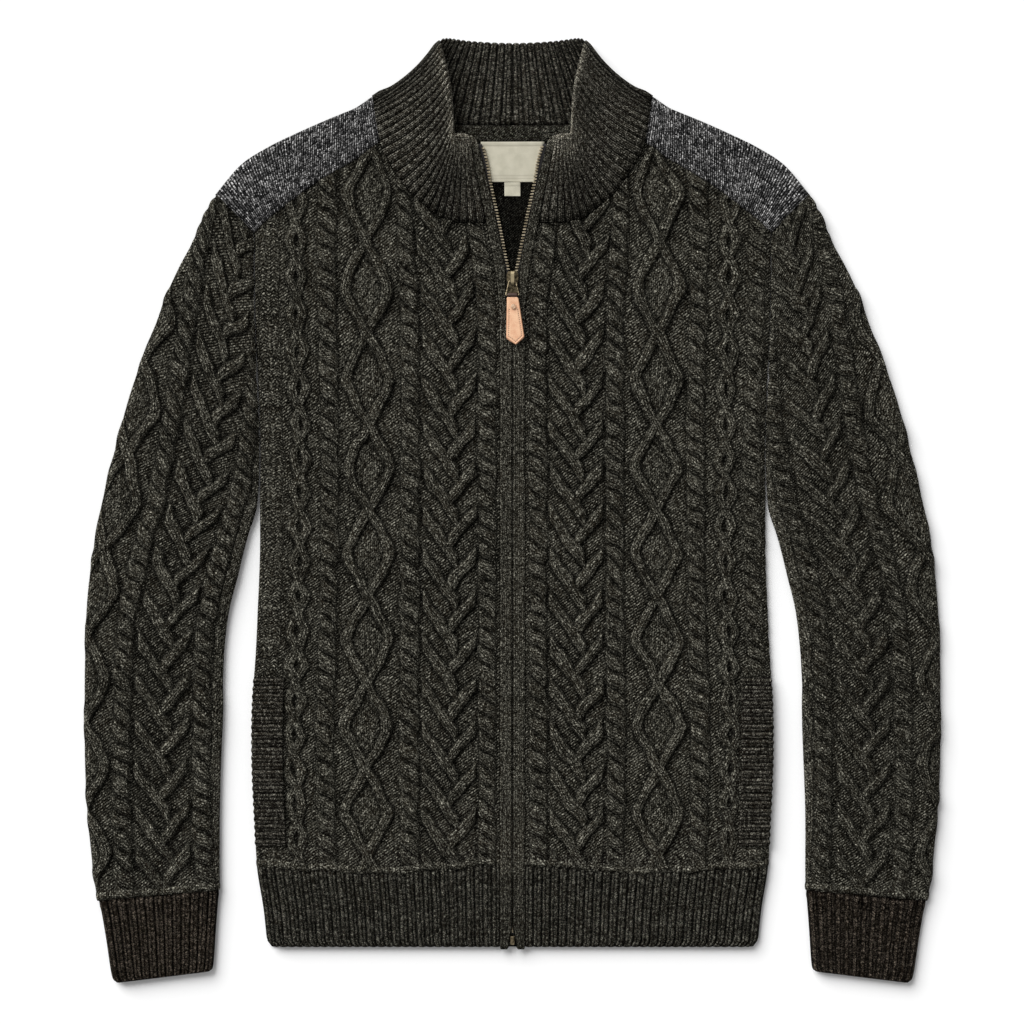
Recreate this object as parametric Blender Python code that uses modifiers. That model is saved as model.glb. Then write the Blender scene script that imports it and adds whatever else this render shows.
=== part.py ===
"""A zip-up cable-knit cardigan laid flat on its back: +Y is towards the collar, +Z is up.

The cloth pieces are walls under grids of stitches. A grid's columns are the cables, ropes and ribs, its rows
are the courses, and both are worked out from the tables of sizes below. Tables are in millimetres.
"""

import math

import bmesh
import bpy
import numpy as np
from mathutils import Matrix, Vector

MM = 0.001
MERGE = 0.00002
SIDES = {"left": 1, "right": -1}  # as the wearer has them: the wearer's left is at +X

# Layers, as heights above the surface that the cardigan lies on
BACK_WALL = 3.0
SEAM_GAP = 0.3
NECK_GAP = 1.1
PATCH_GAP = 0.5
ARMHOLE_GAP = 0.5
FRONT_FLOOR = BACK_WALL + SEAM_GAP
FRONT_WALL = 2.6
TAPE_FLOOR = 4.6
TAPE_WALL = 1.0
BAND_FLOOR = TAPE_FLOOR + TAPE_WALL + SEAM_GAP
BAND_WALL = 2.3
EDGE_ROUND = 4.5  # how far in from a free edge the wall reaches its full height
EDGE_LIP = 0.9  # height of the wall at the free edge itself
FLOOR_TUCK = 2.0  # how far in the underside starts, so that free edges look round

# Courses: a row pitch is an eighth of a diamond, and rows are counted from the crossing nearest the middle
ROW_PITCH = 9.14
ROW_ZERO = 1.3
V_DROP = 4 * ROW_PITCH  # a chevron's point lies this far below its ends
ROPE_LEAN = ROW_PITCH / 2
HALF_CHEST = 216.0

HEM_SEAM_Y = -304.2
HEM_BOTTOM_Y = -370.4
HEM_RIBS = 29

# Half width of the body, from hem to armhole top
BODY_SIDE = (
    # y, half width
    (-370.4, 208.4),
    (-338.7, 211.7),
    (-304.2, 217.2),
    (-262.0, 219.7),
    (-211.0, 221.9),
    (-160.0, 221.4),
    (-120.0, 218.6),
    (-85.0, 217.0),
    (-32.0, 215.0),
    (10.6, 215.0),
    (45.0, 214.4),
    (113.5, 216.6),
    (141.5, 218.0),
    (188.0, 219.2),
    (237.0, 219.4),
)

# The front opening: the teeth, and the two edges of the ribbed band beside them
TEETH_EDGE = (
    # y, x
    (-359.5, 0.15),
    (182.0, 0.15),
    (204.4, 3.3),
    (212.9, 5.1),
    (249.5, 12.3),
    (279.2, 18.7),
    (300.5, 22.5),
    (314.0, 26.4),
)
BAND_EDGES = (
    # y, inner x, outer x
    (-372.0, 5.6, 10.0),
    (-370.0, 4.0, 10.6),
    (-364.0, 2.7, 10.6),
    (-360.0, 2.3, 10.6),
    (-354.0, 0.3, 10.6),
    (-304.0, 0.3, 10.6),
    (-180.0, 0.3, 10.6),
    (-60.0, 0.3, 10.6),
    (60.0, 0.3, 10.6),
    (150.0, 0.3, 10.6),
    (168.0, 0.6, 10.8),
    (178.0, 4.6, 11.6),
    (184.0, 5.7, 12.1),
    (195.0, 5.7, 13.3),
    (205.0, 5.9, 14.6),
    (212.9, 6.9, 15.8),
    (231.0, 10.4, 19.2),
    (249.5, 14.0, 22.8),
    (265.0, 17.2, 26.0),
    (279.2, 20.6, 29.2),
    (292.0, 23.8, 31.6),
    (302.0, 26.4, 33.4),
    (310.0, 29.2, 35.4),
    (315.0, 32.0, 36.2),
)

# Where the body pieces meet the collar: x across, y up
NECK_SEAM = (
    (20.0, 245.2),
    (40.0, 245.3),
    (56.5, 247.5),
    (72.0, 257.0),
    (87.6, 270.7),
    (100.5, 288.0),
    (110.0, 306.0),
    (112.8, 312.4),
)
BACK_NECK = (
    (0.0, 329.7),
    (40.0, 330.2),
    (60.0, 331.2),
    (80.0, 333.2),
    (100.0, 339.2),
    (112.0, 345.2),
    (122.0, 351.4),
)

# The plain yoke patch over each shoulder, from the collar out to the sleeve
PATCH = (
    # lower x, lower y, upper x, upper y
    (113.8, 313.2, 120.4, 352.2),
    (131.8, 300.6, 133.0, 343.6),
    (147.0, 291.4, 146.5, 337.8),
    (165.8, 280.4, 164.5, 330.3),
    (183.0, 267.8, 186.0, 320.6),
    (195.0, 259.0, 208.0, 309.8),
    (208.3, 248.4, 231.0, 294.8),
    (219.4, 237.6, 252.0, 270.4),
)

# Each sleeve, as lines across it from its outer fold to its inner edge, shoulder first
SLEEVE = (
    # outer x, outer y, inner x, inner y
    (252.7, 269.4, 220.1, 236.6),
    (262.5, 252.0, 219.9, 214.0),
    (272.0, 230.0, 219.7, 190.0),
    (284.0, 208.0, 219.1, 165.0),
    (295.0, 184.0, 218.5, 140.0),
    (305.0, 156.0, 217.2, 113.5),
    (316.0, 127.5, 216.2, 87.0),
    (326.0, 99.0, 215.4, 60.0),
    (335.5, 64.0, 215.2, 34.0),
    (343.5, 32.0, 216.2, 10.6),
    (350.5, 3.0, 219.5, -6.0),
    (355.0, -22.0, 226.5, -27.0),
    (359.5, -52.0, 233.5, -55.0),
    (362.6, -85.0, 241.0, -85.5),
    (364.0, -125.0, 245.0, -124.0),
    (364.0, -170.0, 246.0, -169.0),
    (364.0, -215.0, 247.5, -214.0),
    (361.2, -262.0, 248.7, -260.0),
    (357.0, -305.0, 248.9, -300.0),
    (353.5, -331.0, 248.9, -321.5),
)
CUFF = (
    # outer x, outer y, inner x, inner y, share of the full height
    (351.8, -331.6, 249.8, -322.1, 0.80),
    (350.0, -338.0, 250.4, -328.0, 1.0),
    (345.5, -364.0, 252.4, -354.0, 1.0),
    (340.9, -394.0, 254.6, -385.0, 1.0),
    (337.0, -400.8, 257.4, -391.0, 0.70),
)
CUFF_RIBS = 12

# The folded collar, half of it, from the zip round the fold to the middle of the back
COLLAR_FRONT = (
    # seam x, seam y, top x, top y, bend, lift of the top edge
    (22.9, 245.9, 37.0, 315.5, 0.0, 0.0),
    (40.0, 246.0, 41.0, 319.0, 0.0, 0.6),
    (56.5, 248.2, 45.0, 321.0, 1.0, 1.3),
    (71.6, 257.9, 48.0, 324.5, 3.0, 1.9),
    (87.0, 271.6, 48.6, 331.0, 5.0, 2.4),
    (99.6, 289.0, 49.2, 341.0, 6.0, 2.6),
    (109.9, 306.4, 50.5, 354.0, 6.0, 2.4),
    (114.6, 324.4, 53.5, 372.0, 5.0, 1.8),
    (117.2, 340.6, 57.5, 389.0, 5.0, 0.9),
    (118.2, 348.4, 60.6, 397.6, 5.0, 0.1),
)
COLLAR_BACK = (
    (116.4, 348.6, 61.0, 398.0, 4.5, 0.0),
    (100.0, 340.4, 55.0, 400.0, 2.0, 0.0),
    (80.0, 333.9, 47.0, 399.6, 0.0, 0.0),
    (60.0, 330.9, 37.0, 398.8, 0.0, 0.0),
    (40.0, 329.7, 26.0, 397.9, 0.0, 0.0),
    (20.0, 329.3, 13.0, 397.2, 0.0, 0.0),
    (0.0, 329.2, 0.0, 396.9, 0.0, 0.0),
)
COLLAR_FOLD = ((119.0, 353.2), (64.4, 400.8))
COLLAR_FOLD_BEND = 7.4
COLLAR_SHARES = (0.0, 0.3, 0.65, 1.0)
COLLAR_FRONT_RIBS = 21
COLLAR_BACK_RIBS = 9
COLLAR_FRONT_FLOOR = 4.3
COLLAR_ZIP_LIFT = 1.6
COLLAR_WALL = 3.2
RIB_RISE = 1.2

# Soft creases: a trough from one end to the other
CREASES = (
    # x1, y1, x2, y2, depth, width
    (217.6, 124.0, 230.0, 88.0, 3.0, 7.0),
    (230.0, 88.0, 242.0, 58.0, 2.2, 8.0),
    (214.0, 12.0, 196.0, 42.0, 1.4, 9.0),
    (230.0, -12.0, 262.0, 22.0, 1.6, 9.0),
    (352.0, -108.0, 318.0, -124.0, 1.3, 8.0),
    (252.0, -148.0, 286.0, -166.0, 1.2, 9.0),
    (350.0, -262.0, 306.0, -270.0, 1.2, 8.0),
)

MATERIALS = {
    # name: colour, roughness, metallic
    "cable_knit": ((0.050, 0.047, 0.040, 1.0), 0.95, 0.0),
    "rib_knit": ((0.040, 0.036, 0.031, 1.0), 0.95, 0.0),
    "patch_knit": ((0.072, 0.080, 0.090, 1.0), 0.90, 0.0),
    "zip_tape": ((0.012, 0.011, 0.012, 1.0), 0.85, 0.0),
    "antique_brass": ((0.270, 0.225, 0.140, 1.0), 0.38, 1.0),
    "leather": ((0.750, 0.352, 0.190, 1.0), 0.55, 0.0),
    "label_cloth": ((0.740, 0.690, 0.550, 1.0), 0.80, 0.0),
}


def smooth(at, table, column):
    """A cubic through one column of a table, read at the given values of the table's first column."""
    known = np.array([row[0] for row in table], float)
    values = np.array([row[column] for row in table], float)
    slopes = np.gradient(values, known)
    at = np.clip(np.asarray(at, float), known[0], known[-1])
    low = np.clip(np.searchsorted(known, at, side="right") - 1, 0, len(known) - 2)
    step = known[low + 1] - known[low]
    t = (at - known[low]) / step
    start = values[low] * (1 + 2 * t) * (1 - t) ** 2 + slopes[low] * step * t * (1 - t) ** 2
    end = values[low + 1] * t**2 * (3 - 2 * t) - slopes[low + 1] * step * t**2 * (1 - t)
    return start + end


def straight(at, table, column=1):
    """Straight lines through one column of a table."""
    return np.interp(at, [row[0] for row in table], [row[column] for row in table])


def spread(table, places):
    """All columns of a table read smoothly at places from 0, its first row, to 1, its last."""
    count = len(table) - 1
    numbered = [(index / count, *row) for index, row in enumerate(table)]
    return np.stack([smooth(places, numbered, 1 + c) for c in range(len(table[0]))], axis=-1)


def ease(value):
    value = np.clip(value, 0.0, 1.0)
    return value * value * (3 - 2 * value)


def crease_depth(x, y):
    """How far the creases pull the cloth down at a point on the +X side."""
    depth = np.zeros_like(x)
    for x1, y1, x2, y2, deep, wide in CREASES:
        along = np.array([x2 - x1, y2 - y1])
        share = ((x - x1) * along[0] + (y - y1) * along[1]) / (along @ along)
        share = np.clip(share, 0.0, 1.0)
        away = np.hypot(x - x1 - share * along[0], y - y1 - share * along[1])
        depth = np.maximum(depth, deep * np.exp(-((away / wide) ** 2)))
    return depth


# ---------- meshes ----------


def make_material(name):
    colour, roughness, metallic = MATERIALS[name]
    material = bpy.data.materials.new(name)
    material.use_nodes = True
    shader = material.node_tree.nodes["Principled BSDF"]
    shader.inputs["Base Color"].default_value = colour
    shader.inputs["Roughness"].default_value = roughness
    shader.inputs["Metallic"].default_value = metallic
    return material


def add_object(name, mesh, material_name):
    """Puts a finished mesh in the cardigan's collection with its material."""
    obj = bpy.data.objects.new(name, mesh)
    bpy.data.collections["cardigan"].objects.link(obj)
    mesh.materials.append(bpy.data.materials[material_name])
    return obj


def finish_mesh(name, shape, material_name):
    bmesh.ops.recalc_face_normals(shape, faces=shape.faces)
    mesh = bpy.data.meshes.new(name)
    shape.to_mesh(mesh)
    shape.free()
    return add_object(name, mesh, material_name)


def tuck_floor(floor_face, tuck):
    """Moves the points of the flat underside in from its outline."""
    points = [vert.co.copy() for vert in floor_face.verts]
    floor_face.normal_update()
    turned = floor_face.normal
    for index, vert in enumerate(floor_face.verts):
        along = points[(index + 1) % len(points)] - points[index - 1]
        inward = turned.cross(along)
        if inward.length > 0:
            vert.co += inward.normalized() * tuck


def wall_under(name, top, floor, material_name, tuck=0.0):
    """A closed wall between a grid of top points and a flat floor. Grid points that coincide become one."""
    shape = bmesh.new()
    grid = [[shape.verts.new(point) for point in row] for row in top * MM]
    for row, above in zip(grid, grid[1:]):
        for j in range(len(row) - 1):
            shape.faces.new((row[j], row[j + 1], above[j + 1], above[j]))
    bmesh.ops.remove_doubles(shape, verts=shape.verts, dist=MERGE)
    loose = [vert for vert in shape.verts if not vert.link_faces]
    bmesh.ops.delete(shape, geom=loose, context="VERTS")
    rim = [edge for edge in shape.edges if edge.is_boundary]
    made = bmesh.ops.extrude_edge_only(shape, edges=rim)["geom"]
    for vert in made:
        if isinstance(vert, bmesh.types.BMVert):
            vert.co.z = floor * MM
    lower_rim = [edge for edge in made if isinstance(edge, bmesh.types.BMEdge)]
    floor_face = bmesh.ops.edgeloop_fill(shape, edges=lower_rim)["faces"][0]
    if tuck:
        tuck_floor(floor_face, tuck * MM)
    return finish_mesh(name, shape, material_name)


def stitch_rings(shape, first, second):
    """Joins two closed rings of unlike counts with triangles, stepping along whichever is behind."""
    i = j = 0
    while i < len(first) or j < len(second):
        a = first[i % len(first)]
        b = second[j % len(second)]
        if j == len(second) or (i < len(first) and i / len(first) <= j / len(second)):
            shape.faces.new((a, first[(i + 1) % len(first)], b))
            i += 1
        else:
            shape.faces.new((a, second[(j + 1) % len(second)], b))
            j += 1


def tube_wall(name, outer, inner, material_name):
    """A tube between an outer and an inner skin, each an array of rings, open at both ends."""
    shape = bmesh.new()
    skins = []
    for rings in (outer, inner):
        skin = [[shape.verts.new(point) for point in ring] for ring in rings * MM]
        for ring, following in zip(skin, skin[1:]):
            for j in range(len(ring)):
                k = (j + 1) % len(ring)
                shape.faces.new((ring[j], ring[k], following[k], following[j]))
        skins.append(skin)
    for end in (0, -1):
        stitch_rings(shape, skins[0][end], skins[1][end])
    bmesh.ops.remove_doubles(shape, verts=shape.verts, dist=MERGE)
    return finish_mesh(name, shape, material_name)


def stack(x, y, z, side):
    return np.stack([x * side, y, z], axis=-1)


# ---------- the body ----------

# The stitches across a front, from the band to the side seam
FRONT_CHART = (
    # stitch, distance from the zip, share of the V drop, lean, rise, swing of the rise, rows in its repeat
    ("seam", 11.2, 0.0, -1, 0.0, 0.0, 1),
    ("rope", 20.5, 0.0, 0, 1.9, 0.7, 2),
    ("groove", 30.3, 0.0, 1, 0.0, 0.0, 1),
    ("chevron", 42.2, 0.5, 0, 1.4, 1.1, 4),
    ("chevron", 54.2, 1.0, 0, 1.5, 1.2, 4),
    ("chevron", 66.0, 0.5, 0, 1.4, 1.1, 4),
    ("groove", 78.0, 0.0, -1, 0.0, 0.0, 1),
    ("rope", 87.4, 0.0, 0, 1.9, 0.7, 2),
    ("groove", 96.6, 0.0, 1, 0.0, 0.0, 1),
    ("diamond", 122.4, 0.0, 0, 0.1, 0.0, 8),
    ("groove", 148.2, 0.0, -1, 0.0, 0.0, 1),
    ("rope", 157.4, 0.0, 0, 1.9, 0.7, 2),
    ("groove", 167.6, 0.0, 1, 0.0, 0.0, 1),
    ("rope", 178.6, 0.0, 0, 1.7, 0.8, 4),
    ("groove", 189.3, 0.0, 0, 0.0, 0.0, 1),
    ("moss", 201.0, 0.0, 0, 0.7, 0.3, 2),
)
DIAMOND_NARROW = 3.6
DIAMOND_WIDE = 19.6
STRAND_HALF = 3.9
STRAND_RISE = 2.4
MOSS_RISE = 0.9
BACK_ROWS = (-262, -211, -160, -85, -32, 45, 141.5, 188, 238, 270.4, 294.8, 309.8, 330, 343, 350.4)
BACK_SHARES = (0.0, 0.25, 0.5, 0.7, 0.82, 0.92, 1.0)
SEAM_DIP = 1.1  # the cloth pulls down this far at a seam
DIP_REACH = 7.0

WELT_TOP_Y = -140.7
WELT_BOTTOM_Y = -284.4
WELT_INNER = 190.4
WELT_WALL = 1.9
WELT_RIBS = 17
WELT_EDGE = 1.0  # the front keeps its full height to this distance from its edge under a welt


def body_side(y):
    return smooth(y, BODY_SIDE, 1)


def band_shift(y):
    """How far the open zip has moved the band's outer edge out."""
    return smooth(y, BAND_EDGES, 2) - BAND_EDGES[5][2]


def place_to_x(place, y):
    """A stitch's distance from the closed zip, carried to its real x: the side seam and the V move it."""
    share = place / HALF_CHEST
    x = place + (body_side(y) - HALF_CHEST) * share**2
    x = x + band_shift(y) * np.clip(1 - (place - 10.9) / 205.0, 0, 1) ** 2
    towards_neck = np.exp(-(((place - 122.4) / 30.0) ** 2)) * ease((y - 215.0) / 95.0)
    return x - 9.0 * towards_neck


def front_top(x):
    """The front's upper edge: under the collar near the zip, then under the shoulder patch."""
    corner = NECK_SEAM[-1][0]
    under_collar = straight(x, NECK_SEAM) - NECK_GAP
    lower = [(row[0], row[1]) for row in PATCH]
    return np.where(x < corner, under_collar, straight(x, lower) - PATCH_GAP)


def in_welt(y):
    return (y < WELT_TOP_Y + ROW_PITCH) & (y > WELT_BOTTOM_Y - ROW_PITCH)


def front_stitches(row, base):
    """Place, drop and rise for each column of a front, as lists of arrays over the rows."""
    columns = []
    open_share = np.abs(np.sin(math.pi * row / 8))
    for stitch, place, drop, lean, rise, swing, repeat in FRONT_CHART:
        if stitch == "diamond":
            apart = DIAMOND_NARROW + (DIAMOND_WIDE - DIAMOND_NARROW) * open_share
            middle = STRAND_RISE + (MOSS_RISE - STRAND_RISE) * ease(open_share * 2)
            for offset, height in (
                (-apart - STRAND_HALF, 0.1),
                (-apart, STRAND_RISE),
                (0 * apart, middle),
                (apart, STRAND_RISE),
                (apart + STRAND_HALF, 0.1),
            ):
                columns.append((place + offset, 0 * row, 0, height + 0 * row))
            continue
        height = rise + swing * np.cos(2 * math.pi * row / repeat)
        if stitch == "moss":
            height = np.where(in_welt(base), 0.0, height)
        columns.append((place + 0 * row, V_DROP * drop + 0 * row, lean, height))
    return columns


def keep_inside(grid, low, high, snap):
    """Ends each column on the panel's two edges: the rows past an edge repeat the point on it."""
    x, y, z = grid
    for j in range(y.shape[1]):
        inside = np.flatnonzero((y[:, j] > low[:, j] + snap) & (y[:, j] < high[:, j] - snap))
        first, last = inside[0] - 1, inside[-1] + 1
        y[first, j], y[last, j] = low[first, j], high[last, j]
        for part in (x, y, z):
            part[:first, j] = part[first, j]
            part[last + 1 :, j] = part[last, j]


def front_grid(side):
    """The outer points of one front."""
    row = np.arange(math.floor((HEM_SEAM_Y - ROW_ZERO) / ROW_PITCH), 39)
    base = ROW_ZERO + ROW_PITCH * row
    columns = []
    for place, drop, lean, height in front_stitches(row, base):
        y = base - drop * ease((base - HEM_SEAM_Y) / 60.0) - lean * side * ROPE_LEAN
        columns.append((place_to_x(place, y), y, height))
    inset = np.where(in_welt(base), WELT_EDGE, EDGE_ROUND)
    armhole = ease((base - 5.0) / 12.0)
    columns.append((body_side(base) - inset, base, 0.55 * (1 - armhole) * ~in_welt(base)))
    columns.append((body_side(base), base, -FRONT_WALL + EDGE_LIP + 1.0 * armhole))
    x, y, rise = (np.stack(part, axis=1) for part in zip(*columns))
    low = HEM_SEAM_Y + 0 * x
    high = front_top(x)
    dip = np.exp(-(np.maximum(high - y, 0) / DIP_REACH) ** 2)
    dip += 0.4 * np.exp(-(np.maximum(y - low, 0) / DIP_REACH) ** 2)
    z = FRONT_FLOOR + FRONT_WALL + rise - SEAM_DIP * dip * (rise > -1) - 0.8 * crease_depth(x, y)
    keep_inside((x, y, z), low, high, 0.45 * ROW_PITCH)
    return stack(x, y, np.maximum(z, FRONT_FLOOR + EDGE_LIP), side)


def make_front(name, side):
    wall_under(f"front_{name}", front_grid(side), FRONT_FLOOR, "cable_knit")


def back_half_width(y):
    """The back's half width: the side seam, then the shoulder's ends, then its slope."""
    ends = [(body_side(PATCH[-1][1]), PATCH[-1][1]), (PATCH[-1][2], PATCH[-1][3])]
    slope = [(row[3], row[2]) for row in PATCH[::-1]]
    over_armhole = np.interp(y, [point[1] for point in ends], [point[0] for point in ends])
    return np.where(y < ends[0][1], body_side(y), np.where(y < ends[1][1], over_armhole, straight(y, slope)))


def make_back():
    """The back panel: flat underside, its top showing only inside the neck."""
    ys = np.array([HEM_SEAM_Y, *BACK_ROWS])
    share = np.concatenate([-np.array(BACK_SHARES)[:0:-1], BACK_SHARES])
    x = back_half_width(ys)[:, None] * share
    y = ys[:, None] + 0 * x
    neck = straight(np.abs(x), BACK_NECK) - NECK_GAP
    high = np.where(np.abs(share) == 1, ys[-1], np.minimum(neck, ys[-1]))
    keep_inside((x, y, 0 * x), ys[0] + 0 * x, high, 1.0)
    wall_under("back", stack(x, y, BACK_WALL + 0 * x, 1), 0.0, "cable_knit", FLOOR_TUCK)


def hem_edges(y):
    """Rounds the hem's lower corner at the side seam."""
    return body_side(y) - 3.5 * ease((HEM_BOTTOM_Y + 6.0 - y) / 6.0)


def make_hem(name, side):
    """A ribbed hem under one front."""
    ys = np.array([HEM_BOTTOM_Y, HEM_BOTTOM_Y + 5.0, HEM_SEAM_Y - 5.5, HEM_SEAM_Y - SEAM_GAP])
    full = np.array([0.35, 1.0, 1.0, 0.62])
    share = np.linspace(0.0, 1.0, 2 * HEM_RIBS + 1)
    inner = BAND_EDGES[5][2] + SEAM_GAP
    x = inner + (hem_edges(ys)[:, None] - inner) * share
    crest = np.where(np.arange(len(share)) % 2 == 1, RIB_RISE, 0.0)
    wall = full[:, None] * (FRONT_WALL + crest)
    wall[:, -1] = EDGE_LIP
    y = ys[:, None] + 0 * x
    y[0] += 3.0 * ease((share - 0.975) / 0.025)
    wall_under(f"hem_front_{name}", stack(x, y, FRONT_FLOOR + wall, side), FRONT_FLOOR, "rib_knit")


def make_back_hem():
    ys = np.array([HEM_BOTTOM_Y, HEM_BOTTOM_Y + 5.0, -338.7, HEM_SEAM_Y - SEAM_GAP])
    share = np.array([-1.0, -0.5, 0.0, 0.5, 1.0])
    x = hem_edges(ys)[:, None] * share
    y = ys[:, None] + 0 * x
    wall_under("hem_back", stack(x, y, BACK_WALL + 0 * x, 1), 0.0, "rib_knit", FLOOR_TUCK)


def make_band(name, side):
    """The narrow ribbed band beside the zip: two ribs along its length."""
    table = np.array(BAND_EDGES)
    inner, outer = table[:, 1], table[:, 2]
    shares = (0.0, 0.28, 0.5, 0.76, 1.0)
    heights = (BAND_WALL - 1.2, BAND_WALL + 0.8, BAND_WALL, BAND_WALL + 0.8, BAND_WALL - 0.5)
    ends = 1 - 0.5 * np.exp((table[0, 0] - table[:, 0]) / 3.0)
    ends -= 0.5 * np.exp((table[:, 0] - table[-1, 0]) / 4.0)
    x = np.stack([inner + (outer - inner) * s for s in shares], axis=1)
    y = table[:, :1] + 0 * x
    z = BAND_FLOOR + ends[:, None] * np.array(heights)
    wall_under(f"band_{name}", stack(x, y, z, side), BAND_FLOOR, "rib_knit")


def make_patch(name, side):
    """The plain shoulder yoke, round at the shoulder's fold."""
    lines = spread(PATCH, np.linspace(0, 1, 11))
    across = np.array([0.0, 0.12, 0.4, 0.7, 0.88, 1.0])
    height = FRONT_WALL + np.array([-0.7, 0.5, 1.2, 0.9, -0.1, EDGE_LIP - FRONT_WALL])
    x = lines[:, 0:1] + (lines[:, 2:3] - lines[:, 0:1]) * across
    y = lines[:, 1:2] + (lines[:, 3:4] - lines[:, 1:2]) * across
    z = FRONT_FLOOR + height + 0 * x
    z[0] = np.minimum(z[0], FRONT_FLOOR + FRONT_WALL - 0.6)
    z[-1] = np.minimum(z[-1], FRONT_FLOOR + FRONT_WALL - 0.6)
    wall_under(f"shoulder_{name}", stack(x, y, z, side), FRONT_FLOOR, "patch_knit")


def make_welt(name, side):
    """The pocket's ribbed welt, lying on the front along the side seam."""
    ys = np.linspace(WELT_BOTTOM_Y, WELT_TOP_Y, 2 * WELT_RIBS + 1)
    edge = body_side(ys) - WELT_EDGE - SEAM_GAP
    inner = place_to_x(WELT_INNER, ys)
    x = np.stack([inner, inner + 3.0, edge - 5.0, edge], axis=1)
    crest = np.where(np.arange(len(ys)) % 2 == 1, 0.8, 0.0)
    height = np.array([WELT_WALL - 0.8, WELT_WALL, WELT_WALL, WELT_WALL - 1.0])
    floor = FRONT_FLOOR + FRONT_WALL + SEAM_GAP
    z = floor + height + crest[:, None]
    y = ys[:, None] + 0 * x
    wall_under(f"pocket_welt_{name}", stack(x, y, z, side), floor, "rib_knit")


# ---------- the sleeves ----------

SLEEVE_CHART = (
    # share of the width from the outer fold, share of the V drop, lean, rise, swing, rows in its repeat
    (0.10, 0.0, 0, 1.3, 0.9, 6),
    (0.21, 0.0, -1, 0.0, 0.0, 1),
    (0.29, 0.0, 0, 1.7, 0.5, 2),
    (0.38, 0.0, 1, 0.0, 0.0, 1),
    (0.49, 0.5, 0, 1.2, 1.0, 3),
    (0.60, 1.0, 0, 1.4, 1.1, 3),
    (0.71, 0.5, 0, 1.2, 1.0, 3),
    (0.82, 0.0, -1, 0.0, 0.0, 1),
    (0.88, 0.0, 0, 1.1, 0.4, 2),
)
SLEEVE_WALL = 3.2
SLEEVE_HOLLOW = 1.5
SLEEVE_TOP = 2 * SLEEVE_WALL + SLEEVE_HOLLOW
SLEEVE_MID = 4.0
SLEEVE_EDGE = 4.0
SLEEVE_TUCK = 3.0
SLEEVE_ROW = 12.2
HOLLOW_EDGE = 6.0


def ring_points(lines, share, height):
    """Points at shares of each line, from its outer end to its inner end."""
    x = lines[..., 0] + (lines[..., 2] - lines[..., 0]) * share
    y = lines[..., 1] + (lines[..., 3] - lines[..., 1]) * share
    return x, y, height


def hollow_rings(lines, low, high):
    """The plain inside of a flattened tube: six points a ring."""
    width = np.hypot(lines[:, 0] - lines[:, 2], lines[:, 1] - lines[:, 3])
    near = HOLLOW_EDGE / width
    middle = (low + high) / 2
    rings = []
    for share, height in (
        (near, middle),
        (0.3 + 0 * near, high),
        (0.7 + 0 * near, high),
        (1 - near, middle),
        (0.7 + 0 * near, low),
        (0.3 + 0 * near, low),
    ):
        rings.append(ring_points(lines, share, height + 0 * near))
    return rings


def make_sleeve(name, side):
    """One sleeve: a flattened tube, cabled on top, flat underneath."""
    coarse = spread(SLEEVE, np.linspace(0, 1, 200))
    middle = (coarse[:, :2] + coarse[:, 2:]) / 2
    steps = np.hypot(*np.diff(middle, axis=0).T)
    travel = np.concatenate([[0.0], np.cumsum(steps)])
    length = travel[-1]
    rows = np.arange(-1, math.ceil((length + V_DROP) / SLEEVE_ROW) + 2)
    base = rows * SLEEVE_ROW

    def column(share, drop, lean, height, inset=0.0):
        """Points down the sleeve at a share of its width, plus a fixed inset."""
        fade = ease((length - base) / 60.0) * ease(base / 80.0)
        along = base - V_DROP * (1 - drop) * fade - lean * side * 4.0
        inside = np.flatnonzero((along > 0.45 * SLEEVE_ROW) & (along < length - 0.45 * SLEEVE_ROW))
        at = np.clip(np.arange(len(along)), inside[0] - 1, inside[-1] + 1)
        along[inside[0] - 1] = 0.0
        along[inside[-1] + 1] = length
        along = along[at]
        lines = spread(SLEEVE, np.interp(along, travel, np.linspace(0, 1, 200)))
        width = np.hypot(lines[:, 0] - lines[:, 2], lines[:, 1] - lines[:, 3])
        x, y, z = ring_points(lines, share + inset / width, (height + 0 * base)[at])
        ends = np.exp(-along / DIP_REACH) + 0.3 * np.exp(-(length - along) / DIP_REACH)
        z = np.where(z > SLEEVE_MID + 0.1, z - 1.8 * ends - crease_depth(x, y), z)
        return stack(x, y, z, side)

    top = [column(0.0, 0, 0, SLEEVE_MID), column(0.0, 0, 0, SLEEVE_TOP - 0.9, SLEEVE_EDGE)]
    for share, drop, lean, rise, swing, repeat in SLEEVE_CHART:
        height = SLEEVE_TOP + rise + swing * np.cos(2 * math.pi * rows / repeat)
        top.append(column(share, drop, lean, height))
    top.append(column(1.0, 0, 0, SLEEVE_TOP - 1.2, -SLEEVE_EDGE))
    top.append(column(1.0, 0, 0, SLEEVE_MID))
    under = [column(1.0, 0, 0, 0.0, -SLEEVE_TUCK), column(0.0, 0, 0, 0.0, SLEEVE_TUCK)]
    outer = np.stack(top + under, axis=1)
    lines = spread(SLEEVE, np.linspace(0, 1, 24))
    rings = hollow_rings(lines, SLEEVE_WALL, SLEEVE_WALL + SLEEVE_HOLLOW)
    inner = np.stack([stack(*ring, side) for ring in rings], axis=1)
    tube_wall(f"sleeve_{name}", outer, inner, "cable_knit")


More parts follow.
